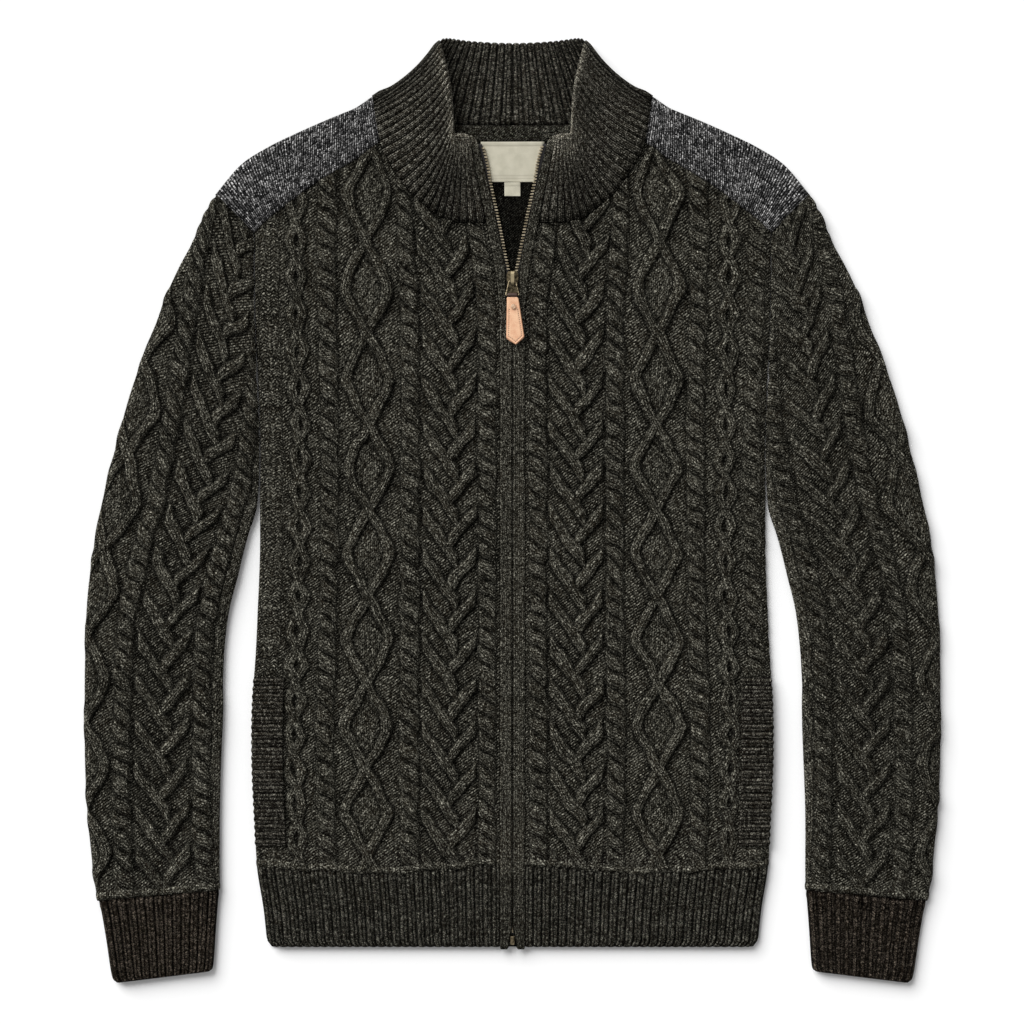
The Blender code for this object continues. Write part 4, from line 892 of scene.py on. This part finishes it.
# back
# The back panel: the shoulder outline on a grid, flat both sides, its inside showing in the neck.
def makeBack():
    low, high = hem["seam"], 350.4
    shoulder = [(row[3], row[2]) for row in patchRows[::-1]]
    _, armY, topX, topY = patchRows[-1]
    arm = [(armY, bodySide(armY)), (topY, topX)]
    s, t = alongRow(-1, 1, 117), downColumn(0, 1, 124)
    y = low + (high - low) * t + 0 * s
    for _ in range(14):
        upper = np.where(y < topY, straightAt(y, arm), straightAt(y, shoulder))
        half = np.where(y < armY, bodySide(y), upper)
        x = half * s
        neck = np.minimum(straightAt(np.abs(x), backNeckRows) - 0.9, high)
        y = low + (neck - low) * t
    top = pointsOf(x, y, 1.2 + 1.8 * edgeRise(half * (1 - np.abs(s)) + 0.3, 2.0))
    # The back's inside that shows in the neck gets painted shade, darkest in the V, lighter on the strip
    # above the label.
    hollow = ease((70.0 - np.abs(x)) / 12.0) * ease((y - 150.0) / 30.0)  # the part that shows in the neck
    strip = hollow * ease((y - 314.0) / 5.0)
    shade, paintedLight = 0.9 - 0.80 * hollow + 0.40 * strip, 0.3 * strip - 0.58 * hollow
    weave = packWeave(x / stitch["plainWidth"], y / stitch["plainRow"], 0, shade, top, paintedLight)
    dressCloth(wallPiece("backKnit", top, 0.0, weave), "back", cableYarn)


def makeBackHem():
    s, y = alongRow(-1, 1, 200), downColumn(hem["bottom"], hem["seam"] - 0.3, 15)
    outer = hemSide(y)
    x = outer * s
    rise = edgeRise(outer * (1 - np.abs(s)) + 0.3, 2.0) * edgeRise(y - hem["bottom"] + 0.3, 2.0)
    top = pointsOf(x, y, 1.2 + 1.8 * rise)
    weave = packWeave(x / 6.9, y / stitch["plainRow"], 1.0, 0.8, top)
    dressCloth(wallPiece("backHemRib", top, 0.0, weave), "hem_back", ribYarn)


# sleeves and cuffs
sleeve = dict(
    columns=104, rows=430, under=16, top=7.9, middle=4.0, round=8.0, cable=0.60, inset=6.5, ceiling=4.7,
    floor=3.2, waves=0.5,
)
cuff = dict(columns=230, rows=48, ribs=13, relief=1.8, top=6.6, round=6.0)


# Fold lines pushed outwards by 0.4 of the relief beside each, so cables show in the outline.
def swollen(lines, relief):
    run = lines[:, 2:] - lines[:, :2]
    run = run / np.linalg.norm(run, axis=1, keepdims=True)
    outer, inner = (0.4 * (z.mean(axis=1, keepdims=True) - 0.9) for z in (relief[:, 2:9], relief[:, -9:-2]))
    return lines + np.concatenate([-run * outer, run * inner], axis=1)


# Shares across a flattened tube, closer together at its folds.
def foldShares(count):
    even = alongRow(0, 1, count)
    return even - 0.055 * np.sin(2 * math.pi * even)


# Rings round a flattened tube: out along the top from the outer fold to the inner, back underneath, flat.
def tubeRings(lines, over, topHeight, relief, roundReach, stand=0.0):
    lines = swollen(lines, relief)
    width = widthOf(lines)
    back = alongRow(1, 0, sleeve["under"] + 2)[:, 1:-1]
    rise = edgeRise(np.minimum(over, 1 - over) * width, roundReach)
    rise = np.maximum(rise, stand * (over > 0.5))
    topZ = sleeve["middle"] + (topHeight - sleeve["middle"] + relief) * rise
    lowZ = sleeve["middle"] * (1 - edgeRise(np.minimum(back, 1 - back) * width, 5.0))
    share = np.concatenate([over + 0 * width, back + 0 * width], axis=1)
    return *acrossLines(lines, share), np.concatenate([topZ, lowZ], axis=1), back


# The plain hollow: an oval ring inside each line.
def insideRings(lines, count, side):
    turn = np.linspace(0, 2 * math.pi, count, endpoint=False)[None, :]
    share = 0.5 - np.cos(turn) * (0.5 - sleeve["inset"] / widthOf(lines))
    middle, half = (sleeve["ceiling"] + sleeve["floor"]) / 2, (sleeve["ceiling"] - sleeve["floor"]) / 2
    z = middle + half * np.sign(np.sin(turn)) * np.abs(np.sin(turn)) ** 0.4
    x, y = acrossLines(lines, share)
    return pointsOf(x * side, y, z)


# The tube from its rings. tops are across, along, knit, shade and painted light on top, and unders theirs
# underneath.
def makeTube(name, outer, rows, hollowRings, tops, unders, side):
    count = tops[0].shape[1]
    full = np.zeros(outer.shape[:2])
    above, below = full[:, :count], full[:, count:]
    *weave, paintedLight = (np.concatenate([a + above, b + below], axis=1) for a, b in zip(tops, unders))
    inner = insideRings(spreadRows(rows, np.linspace(0, 1, hollowRings)), outer.shape[1], side)
    return tubePiece(name, outer, inner, packWeave(*weave, outer, paintedLight), -side)


# Stitches laid from the fold across and down the run, a rolled row over the cuff. The left one is painted
# darker, with shallower painted shade.
def makeSleeve(name, side):
    lines = spreadRows(sleeveRows, np.linspace(0, 1, sleeve["rows"]))
    run, width, over = runOf(lines), widthOf(lines), foldShares(sleeve["columns"])
    drift = 8.0 * (0.5 - ease((run - 140.0) / 260.0))
    across = (over - sleeve["cable"]) * width - drift
    z, u, v, knit = strips(across, -run + 0 * across, sleeveChart(side), -side)
    x, y = acrossLines(swollen(lines, 0 * z), over)
    above = run[-1] - run + 0 * across
    z = z * (1 + 0.18 * slowWaves(2.5 * x, 2.5 * y, 51 + side))
    z = z * (1 - 0.8 * bell(above, 11.0)) + hemRidge(above, across, side)
    knit = np.where(above < 7.0, 0.5, knit)
    ends = bell(run, 5.0) + 0.2 * bell(above, 1.6)
    # Painted shade in the relief's hollows and at both ends; painted light on the ridge over the cuff.
    shade = np.clip(standing(z) - 0.3 * ends, 0, 1)
    shade = shade + (0.16 * (1 - shade) if side > 0 else 0)
    paintedLight = rowPaintedLight(above, across) - (0.15 if side > 0 else 0)
    relief = z - 1.6 * ends - 0.9 * creaseDepth(x, y) + sleeve["waves"] * slowWaves(x, y, 21 + side)
    stand = 0.5 * ease((lines[:, 3:4] - 5.0) / 14.0)
    x, y, z, back = tubeRings(lines, over, sleeve["top"], relief, sleeve["round"], stand)
    outer = pointsOf(x * side, y, z)
    unders = (back * width / stitch["plainWidth"], -run / stitch["plainRow"], 0, 0.6, 0)
    piece = makeTube(f"sleeveKnit_{name}", outer, sleeveRows, 16, (u, v, knit, shade, paintedLight), unders, side)
    dressCloth(piece, f"sleeve_{name}", cableYarn)


# Ribs along the run, rounded off at the end, with a soft ridge under the sleeve.
def makeCuff(name, side):
    lines = spreadRows(cuffRows, np.linspace(0, 1, cuff["rows"]))
    run, over = runOf(lines), foldShares(cuff["columns"])
    z, u, v, knit = ribs(over * cuff["ribs"] + 0.5 + 0 * run, -run + 0 * over, cuff["relief"])
    # Painted shade in the grooves between ribs, deeper at the seam.
    shade = z / cuff["relief"] * (1 - 0.25 * bell(run, 1.8))
    fall = 1 - edgeRise(run[-1] - run + 0.2, 3.2)
    relief = z * (1 - 0.5 * fall) + 0.9 * bell(run - 5.0, 2.6) - 0.9 * bell(run, 2.2) - 1.9 * fall
    x, y, z, back = tubeRings(lines, over, cuff["top"], relief, cuff["round"])
    outer = pointsOf(x * side, y, z)
    unders = (back * cuff["ribs"], -run / stitch["plainRow"], 1, 0.6, 0)
    piece = makeTube(f"cuffRib_{name}", outer, cuffRows, 4, (u, v, knit, shade, 0), unders, side)
    dressCloth(piece, f"cuff_{name}", cuffYarn)


# collar: flat and cut are its size and area in metres
collar = dict(
    wall=3.2, floor=4.3, zipLift=1.6, frontRibs=23, backRibs=13, samples=12, outerPoints=42, innerPoints=26,
    foldSeam=(119.4, 353.6), foldTop=(63.6, 402.8), foldBend=5.9, foldInward=(-0.66, -0.75), relief=1.9,
    backRelief=1.7, flat=(0.48, 0.078), cut=0.03456,
)


# Chord from seam to top, bowed sideways by 4 t (1 - t) bend.
def bentLine(seam, top, bend, t):
    chord = top - seam
    across = np.stack([chord[:, 1], -chord[:, 0]], axis=-1)
    across /= np.linalg.norm(across, axis=-1, keepdims=True)
    across *= np.sign(across[:, 1:2])
    bow = 4 * t * (1 - t) * bend[:, None]
    return seam[:, None] + chord[:, None] * t[..., None] - across[:, None] * bow[..., None]


# One stretch of the wall, from pairs of plan, height, across, along, shade and painted light: outside, then
# inside.
def collarPart(plans, *values):
    skins = []
    for plan, *skin in zip(plans, *values):
        skins.append(np.dstack([plan, *(value + 0 * plan[..., 0] for value in skin)]))
    return np.concatenate(skins, axis=1)


# Rings round the wall, seam to top on the outside and back on the inside, from the zip round to the zip.
def makeCollar():
    tOut = np.sin(np.linspace(0, math.pi / 2, collar["outerPoints"])) ** 0.9
    tIn = 1 - np.linspace(0, 1, collar["innerPoints"]) ** 1.1
    nFront, nBack = (collar[key] * collar["samples"] + 1 for key in ("frontRibs", "backRibs"))
    row = stitch["plainRow"]

    # front part: ribs outside, painted shade in their grooves and at the bend, a painted highlight along the
    # top roll
    places = np.linspace(0, 1, nFront)
    front = spreadRows(collarFrontRows, places + 0.12 * places * (1 - places))
    seam, top, bend, lift = front[:, :2], front[:, 2:4], front[:, 4], front[:, 5:6]
    count = np.arange(nFront)[:, None]
    share = count / (nFront - 1)  # 0 at the zip and 1 at the fold
    phase = count / collar["samples"] + 0.5
    length = np.linalg.norm(top - seam, axis=1)[:, None]
    z, u, v, _ = ribs(phase + 0 * tOut, tOut * length, collar["relief"], 0.6, 2, 1.7)
    groove = z / collar["relief"]
    crowd = np.linalg.norm(np.gradient(top, axis=0), axis=1)[:, None] * collar["samples"] / 5.5
    z = z * (1 - tOut + tOut * np.clip(crowd, 0.45, 1))
    fromTop = (1 - tOut) * length
    dip = (2.3 - 0.6 * share) * bell(tOut * length, 3.4) + 0.8 * bell(count, 5.0)
    wall = collar["wall"] - 2.0 + z + 3.0 * bell(fromTop - 4, 5.0) + tOut * (2.4 + 3.8 * share)
    floor = collar["floor"] + collar["zipLift"] * (1 - share)
    outerZ = floor + lift * tOut + 1.4 + wall * edgeRise(fromTop + 0.3, 3.5) - dip
    bendShade = bell(share - 0.25, 0.17) * ease((0.66 - tOut) / 0.25)
    shade = np.clip(groove - 0.08 * dip, 0, 1) * (1 - 0.25 * bendShade)
    # Painted highlight along the top roll, widest at the square corner, and a little painted shade at the
    # bend.
    square, upper = ease((0.60 - share) / 0.20), ease((share - 0.5) / 0.25)
    paintedLight = (1.0 + 2.6 * square + 0.4 * upper) * bell(np.maximum(fromTop - 2.5, 0), 8.0 + 5.5 * square)
    paintedLight = paintedLight - 0.40 * bendShade * ease((fromTop - 14) / 8)
    plans = [bentLine(seam, top, bend, t) for t in (tOut, tIn)]
    heights = (outerZ, floor + lift * tIn)
    parts = [collarPart(plans, heights, (u, phase), (v, tIn * length / row), (shade, 0.3), (paintedLight, 0))]

    # the fold
    steps = np.linspace(0, 1, 9)[1:-1][:, None]
    seam, top = (np.repeat([collar[key]], len(steps), axis=0) for key in ("foldSeam", "foldTop"))
    bend = np.full(len(steps), collar["foldBend"])
    inward, angle = np.array(collar["foldInward"]), steps * math.pi
    length = np.linalg.norm(top - seam, axis=1)[:, None]
    corner = np.clip((tOut - 0.88) / 0.12, 0, 1)[:, None] ** 2 * (-1.0, -1.9)
    bulge = 1.4 * bell(tOut - 0.10, 0.08)[:, None] * -inward
    planOut, planIn = (bentLine(seam, top, bend, t) for t in (tOut, tIn))
    planOut = planOut + inward * 0.9 * (1 - np.sin(angle))[..., None] + corner + bulge
    planIn = planIn + inward * (3.1 + 0.3 * np.cos(angle) ** 2)[..., None]
    heights = (3.6 + 3.0 * np.cos(angle) + 0.25 * np.cos(angle * 4), 3.75 + 0.45 * np.cos(angle))
    phase = collar["frontRibs"] + 0.5 + steps * 2
    along = (tOut * length / row, tIn * length / row)
    # Light painted shade on the fold's outside, deep painted shade on its inside.
    parts.append(collarPart((planOut, planIn), heights, (phase + 0.5, phase), along, (0.8, 0.1), (0, 0)))

    # back part: ribs inside, where it shows, with painted shadow near the folds and painted shade over the
    # whole inside
    back = spreadRows(collarBackRows, np.linspace(0, 1, nBack))
    seam, top, bend = back[:, :2], back[:, 2:4], back[:, 4]
    count = np.arange(nBack)[:, None]
    phase = count / collar["samples"] + 0.5
    top[:, 1] += 1.3 * np.abs(np.cos(math.pi * phase[:, 0])) ** 0.5 + 0.7
    length = np.linalg.norm(top - seam, axis=1)[:, None]
    z, u, v, _ = ribs(phase + 0 * tIn, tIn * length, collar["backRelief"], 0.6)
    free = 1 - bell(count, 10.0)
    dip = bell(tIn * length, 2.5)
    innerZ = 1.6 + (1.2 + z * free) * edgeRise((1 - tIn) * length + 0.2, 2.2) - 0.5 * dip
    outerZ = 1.3 * (1 - edgeRise((1 - tOut) * length + 0.2, 2.0))
    plans = [bentLine(seam, top, bend, t) for t in (tOut, tIn)]
    # Painted shadow near the folds and away from the middle, lighter towards the top, and painted shade in
    # the grooves and the seam's dip.
    foldShadow = bell(count, 15.0) * (1 - 0.55 * tIn) + 0.25 * ease((np.abs(plans[1][..., 0]) - 30.0) / 20.0)
    shade = np.clip(z / collar["backRelief"] - 0.4 * dip, 0, 1) * (1 - 0.6 * foldShadow)
    shade = np.maximum(shade, 0.75 * bell(tIn * length - 4.5, 2.2) * (1 - foldShadow))
    heights = (outerZ, np.minimum(innerZ, 3.4 + 1.5 * free))
    along = (tOut * length / row, v)
    parts.append(collarPart(plans, heights, (phase + 0.5, u), along, (0.7, shade), (0, -0.34 - 0.4 * foldShadow)))

    # the other half mirrored, and both ends closed
    half = np.concatenate(parts)
    full = np.concatenate([half, half[-2::-1] * (-1, 1, 1, 1, 1, 1, 1)])
    grid, (u, v, shade, paintedLight) = full[..., :3], np.moveaxis(full[..., 3:], -1, 0)
    index = indexGrid(*grid.shape[:2])
    weave = packWeave(u, v, 1.0, shade, grid, paintedLight)
    quads = gridFaces(closedRound(index))[:, ::-1]
    piece = meshPiece("collarRib", grid, quads, weave, [index[0], index[-1, ::-1]])
    dress(piece, "collar", collarYarn)


# zip: tooth is reach inwards and half length, from the tape's edge to the tip
zipper = dict(
    pitch=2.5, toothLong=1.15, tooth=((-1.0, 0.9), (0.35, 1.0), (0.95, 0.72), (1.15, 0.42)), low=3.9,
    high=6.35, topY=311.0, bottomY=-357.5, closedY=181.0, slider=(184.5, 204.8), tapeTop=312.5, tapeWidth=9.0,
)


# x of the teeth's edge: straight while closed, then along the open V.
def teethEdge(y):
    return np.where(y < zipper["closedY"], teethRows[0][1], smoothAt(y, teethRows, 1))


# Half the tape: a cord along its toothed edge, then flat cloth under the band.
def makeTape(name, side):
    s, y = alongRow(0, 1, 12), downColumn(teethRows[0][0], zipper["tapeTop"], 300)
    edge = teethEdge(y)
    reach = np.minimum(edge + zipper["tapeWidth"], smoothAt(y, bandRows, 2) - 0.2)
    cord = 0.2 * dome((s * zipper["tapeWidth"] - 0.9) / 0.9)
    top = pointsOf((edge + (reach - edge) * s) * side, y, layers["tapeFloor"] + 0.8 + cord)
    piece = wallPiece(f"zipTape_{name}", top, layers["tapeFloor"], packWeave(0, 0, 0, 0, top), side)
    dressCloth(piece, f"zip_tape_{name}", tapeCloth)


# A tooth is four sections of four corners, repeated along the edge as whole arrays, but not at the slider.
def makeTeeth(name, side):
    start = zipper["bottomY"] + (zipper["pitch"] / 2 if side < 0 else 0)
    y = np.arange(start, zipper["topY"], zipper["pitch"])
    edge = teethEdge(y)
    slope = np.where(y < zipper["closedY"], 0.0, np.gradient(edge, y))
    keep = (y > zipper["slider"][1]) | (y < zipper["slider"][0])
    y, edge, slope = (values[keep][:, None] for values in (y, edge, slope))
    apart = ease((y - 190.0) / 10.0)
    section = [(up, sign) for up in (0, 1) for sign in (-1, 1)]
    corners = [(inward, half * sign, up) for inward, half in zipper["tooth"] for up, sign in section]
    inward, along, up = np.array(corners).T
    along = along * zipper["toothLong"] / 2
    x = edge - 0.1 - inward * (0.55 + 0.75 * apart) + along * slope
    shrink = np.where(np.abs(inward) > 1, 0.25, 0.0)
    z = np.where(up > 0, zipper["high"] - shrink - 0.6 * (1 - apart), zipper["low"] + shrink)
    quads = []
    for a in range(0, len(corners) - 4, 4):
        b = a + 4
        quads += [(a, a + 1, b + 1, b), (a + 2, b + 2, b + 3, a + 3)]
        quads += [(a, b, b + 2, a + 2), (a + 1, a + 3, b + 3, b + 1)]
    quads += [(0, 2, 3, 1), (b, b + 1, b + 3, b + 2)]
    quads = (indexGrid(len(y), 1)[:, None] * len(corners) + np.array(quads)).reshape(-1, 4)[:, ::-side]
    piece = meshPiece(f"zipTeeth_{name}", pointsOf(x * side, y + along, z), quads, {}, smooth=False)
    dress(piece, None, wornBrass)


def dressHardware():
    metals = dict(zip_slider=slider, pull_link=brass, pull_rivet=copper, zip_box=brass)
    for node, metal in metals.items():
        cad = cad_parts[node]
        cad.data.materials.clear()
        cad.data.materials.append(metal)


# leather tab: swing and pitch are in radians, and path is the corners of its outline beside the stitches
tab = dict(
    barY=183.399, barZ=11.505, wall=2.6, swing=math.radians(3.9), pitch=math.radians(1.0), eye=2.0, wire=1.1,
    halfTop=4.2, path=((5.4, 11.0), (7.62, 35.0), (0.0, 41.55), (-7.62, 35.0), (-5.4, 11.0)),
    stitchInset=1.9, stitchPitch=1.75, stitchHalf=0.50, stitchRound=0.42,
)
tabRows = [  # distance down, half width
    (1.7, 4.2), (2.6, 4.95), (34.4, 7.6), (35.6, 7.7), (36.9, 6.9), (41.9, 0.35),
]


# x and y of a place on the tab, turned by a share of its swing about the bar's middle.
def swung(across, down, share):
    cosine, sine = 1 - share + share * math.cos(tab["swing"]), share * math.sin(tab["swing"])
    return across * cosine + down * sine, across * sine - down * cosine


# Half width by distance down, a rounded rim, a channel for the stitches and a dent round the rivet.
def tabGrids():
    spans = (np.linspace(1.7, 2.6, 4), np.linspace(3.2, 33.8, 34), np.linspace(34.4, 41.9, 24))
    down = np.concatenate(spans)[:, None]
    half = straightAt(down, tabRows)
    s = alongRow(-1, 1, 35)
    s = np.sign(s) * (1 - (1 - np.abs(s)) ** 1.35)
    across = half * s
    rimAway = np.minimum(half * (1 - np.abs(s)) * 0.97, (42.1 - down - 0.82 * np.abs(across)) * 0.78)
    rimAway = np.clip(rimAway, 0, None)
    rise = edgeRise(rimAway + 0.12, 0.9) * tab["wall"] / 2
    channel = bell(rimAway - 1.9, 0.42) * ease((down - 10) / 2)
    dent = 0.35 * bell(np.hypot(across, down - 9.6), 3.4, 4)
    # shade: darker towards the rim, with painted shade in the stitch channel.
    shade = np.clip(1 - rimAway / 0.9, 0, 1) + 0.12 * channel
    x, y = swung(across, down, ease((down - 1.7) / 3.0))
    return pointsOf(x, y, rise - 0.28 * channel - dent), pointsOf(x, y, -rise), shade


# From the tab's own place at the bar to the garment: pitched, then moved.
def placeTab(points):
    c, s = math.cos(tab["pitch"]), math.sin(tab["pitch"])
    x, y, z = np.moveaxis(points, -1, 0)
    return pointsOf(x, tab["barY"] + y * c - z * s, tab["barZ"] + y * s + z * c)


# The strap, closed round its rim, and the fold round the bar: a pipe of leather, open inside for the wire.
def makeLeatherTab():
    topGrid, lowGrid, shade = tabGrids()
    index = indexGrid(*shade.shape)
    low = index + shade.size
    up, down = rimOf(index), rimOf(low)
    rim = np.stack([up, np.roll(up, -1), np.roll(down, -1), down], axis=1)
    quads = np.concatenate([gridFaces(index)[:, ::-1], gridFaces(low), rim])
    shades = np.stack([shade, np.clip(shade, 0, 1)])
    points = placeTab(np.stack([topGrid, lowGrid]))
    piece = meshPiece("leatherTab", points, quads, {"shade": pointsOf(shades, 0, 0)}, body="tab")
    dress(piece, "pull_tab", leather)

    widths = alongRow(-1, 1, 15)
    turn = np.linspace(0, 2 * math.pi, 40, endpoint=False)[:, None]
    radii = (tab["eye"] * (1 - 0.10 * np.abs(widths) ** 6), tab["wire"])
    skins = [pointsOf(tab["halfTop"] * widths, r * np.cos(turn), r * np.sin(turn)) for r in radii]
    index = indexGrid(*skins[0].shape[:2])
    inside = index + index.size
    close = lambda grid: np.concatenate([grid, grid[:1]])
    quads = [gridFaces(close(index)), gridFaces(close(inside))[:, ::-1]]
    for column, flip in ((0, 1), (-1, -1)):
        ends = close(np.stack([inside[:, column], index[:, column]], axis=1))
        quads.append(gridFaces(ends)[:, ::flip])
    # The loop round the bar: full rim colour and a painted shadow, nearly black, for the gap under the link.
    shades = np.tile([2.0, 0.97, 0.0], (2 * index.size, 1))
    points = placeTab(np.stack(skins))
    eye = meshPiece("leatherEye", points, np.concatenate(quads), {"shade": shades}, body="tab")
    dress(eye, None, leather)


# A running stitch parallel to the rim: short capsules laid along the two sides and the point.
def makeTabStitches():
    path, centre = np.array(tab["path"]), np.array([0.0, 26.0])
    shrunk = []
    for k, corner in enumerate(path):
        legs = (corner - path[max(k - 1, 0)], path[min(k + 1, len(path) - 1)] - corner)
        normals = [np.array([-leg[1], leg[0]]) / np.linalg.norm(leg) for leg in legs if leg.any()]
        n = sum(n if n @ (centre - corner) > 0 else -n for n in normals) / len(normals)
        shrunk.append(corner + n * tab["stitchInset"] / max(0.3, n @ n))
    shrunk = np.array(shrunk)
    away = np.concatenate([[0], np.cumsum(np.linalg.norm(np.diff(shrunk, axis=0), axis=1))])
    at = np.arange(tab["stitchPitch"] / 2, away[-1], tab["stitchPitch"])
    before, middle, after = (
        np.stack([np.interp(at + step, away, line) for line in shrunk.T])[..., None, None]
        for step in (-0.3, 0, 0.3)
    )
    way = (after - before) / np.linalg.norm(after - before, axis=0)
    turn = alongRow(0, 2 * math.pi, 9)[:, :-1]
    steps = downColumn(-1, 1, 7)
    thick = tab["stitchRound"] * dome(steps * 0.97)
    along, beside = steps * tab["stitchHalf"], thick * np.cos(turn)
    across = middle[0] + way[0] * along - way[1] * beside
    down = middle[1] + way[1] * along + way[0] * beside
    x, y = swung(across, down, 1)
    points = placeTab(pointsOf(x, y, tab["wall"] / 2 - 0.14 + thick * np.sin(turn)))
    one = indexGrid(*points.shape[1:3])
    base = indexGrid(len(at), 1) * one.size
    quads = (gridFaces(closedRound(one)) + base[:, None]).reshape(-1, 4)
    piece = meshPiece("tabStitches", points, quads, {}, [*(one[0] + base), *(one[-1, ::-1] + base)], "tab")
    dress(piece, None, tanThread)


# labels: neck and size are boxes of x and y
labels = dict(neck=(-27.0, 280.4, 27.0, 314.6), size=(-6.8, 268.4, 6.8, 280.1), floor=3.3, wall=0.6)


# A thin woven rectangle with a soft curl, and rules as bands of shade at given shares of its height.
def makeLabel(name, node, box, rules):
    x0, y0, x1, y1 = box
    s, t = alongRow(0, 1, 20), downColumn(0, 1, 60)
    z = labels["floor"] + labels["wall"] + 0.28 * np.sin(s * 5.0 + 0.6) * np.sin(t * 4.0 + 0.9)
    top = pointsOf(x0 + (x1 - x0) * s, y0 + (y1 - y0) * t, z + 0.35 * dome((1 - t) * (y1 - y0) / 3.2))
    shade = 0 * z
    for centre, width in rules:
        shade = np.maximum(shade, bell(t - centre, width, 4) * (np.abs(s - 0.5) < 0.47))
    piece = wallPiece(name, top, labels["floor"], {"shade": pointsOf(shade, 0, 0)})
    dressCloth(piece, node, labelCloth)


# camera, lights, floor
studio = dict(
    lens=85.0, sensor=36.0, width=870.4, centre=(-0.4, -0.4), key=(-0.60, 0.80, 0.58), keyPower=5.0,
    keySoftness=52.0, fill=0.36, floorReach=12, floorTone=0.93,
)


def makeStudio():
    scene = bpy.context.scene
    camera = bpy.data.objects.new("camera", bpy.data.cameras.new("camera"))
    scene.collection.objects.link(camera)
    camera.data.lens, camera.data.sensor_width = studio["lens"], studio["sensor"]
    height = studio["width"] * studio["lens"] / studio["sensor"]
    camera.location = Vector((*studio["centre"], height + 6.0)) * mm
    camera.data.clip_start, camera.data.clip_end = 0.01, 20.0
    scene.camera = camera

    floorMesh = bpy.data.meshes.new("floor")
    reach = studio["floorReach"]
    corners = [(-reach, -reach, 0), (reach, -reach, 0), (reach, reach, 0), (-reach, reach, 0)]
    floorMesh.from_pydata(corners, [], [(0, 1, 2, 3)])
    floor = bpy.data.objects.new("floor", floorMesh)
    floor.location.z = -0.05 * mm
    scene.collection.objects.link(floor)
    paper = Wires("pale paper", 0.9)
    paper.shader.inputs["Base Color"].default_value = (*[studio["floorTone"]] * 3, 1)
    floorMesh.materials.append(paper.material)

    world = bpy.data.worlds.new("soft room")
    world.use_nodes = True
    world.node_tree.nodes["Background"].inputs["Color"].default_value = (1, 1, 1, 1)
    world.node_tree.nodes["Background"].inputs["Strength"].default_value = studio["fill"]
    scene.world = world

    light = bpy.data.lights.new("window", "SUN")
    light.energy, light.angle = studio["keyPower"], math.radians(studio["keySoftness"])
    lamp = bpy.data.objects.new("window", light)
    lamp.location = Vector(studio["key"])
    lamp.rotation_mode = "QUATERNION"
    lamp.rotation_quaternion = (-lamp.location).to_track_quat("-Z", "Y")
    scene.collection.objects.link(lamp)
    scene.view_settings.view_transform = "Standard"


makeStudio()
makeBack()
makeBackHem()
print("back made")
for name, side in sides.items():
    makeFront(name, side)
    makeHem(name, side)
    makeBand(name, side)
    makeWelt(name, side)
    makePatch(name, side)
    makeSleeve(name, side)
    makeCuff(name, side)
    makeTape(name, side)
    makeTeeth(name, side)
    print(name, "side made")
makeCollar()
dressHardware()
makeLeatherTab()
makeTabStitches()
# The rule near the top is painted shade under the curled top edge; the two low rules are woven.
makeLabel("neckLabel", "neck_label", labels["neck"], [(0.09, 0.010), (0.16, 0.010), (0.90, 0.012)])
makeLabel("sizeTab", "size_tab", labels["size"], [])
print("collar, zip pull and labels made")
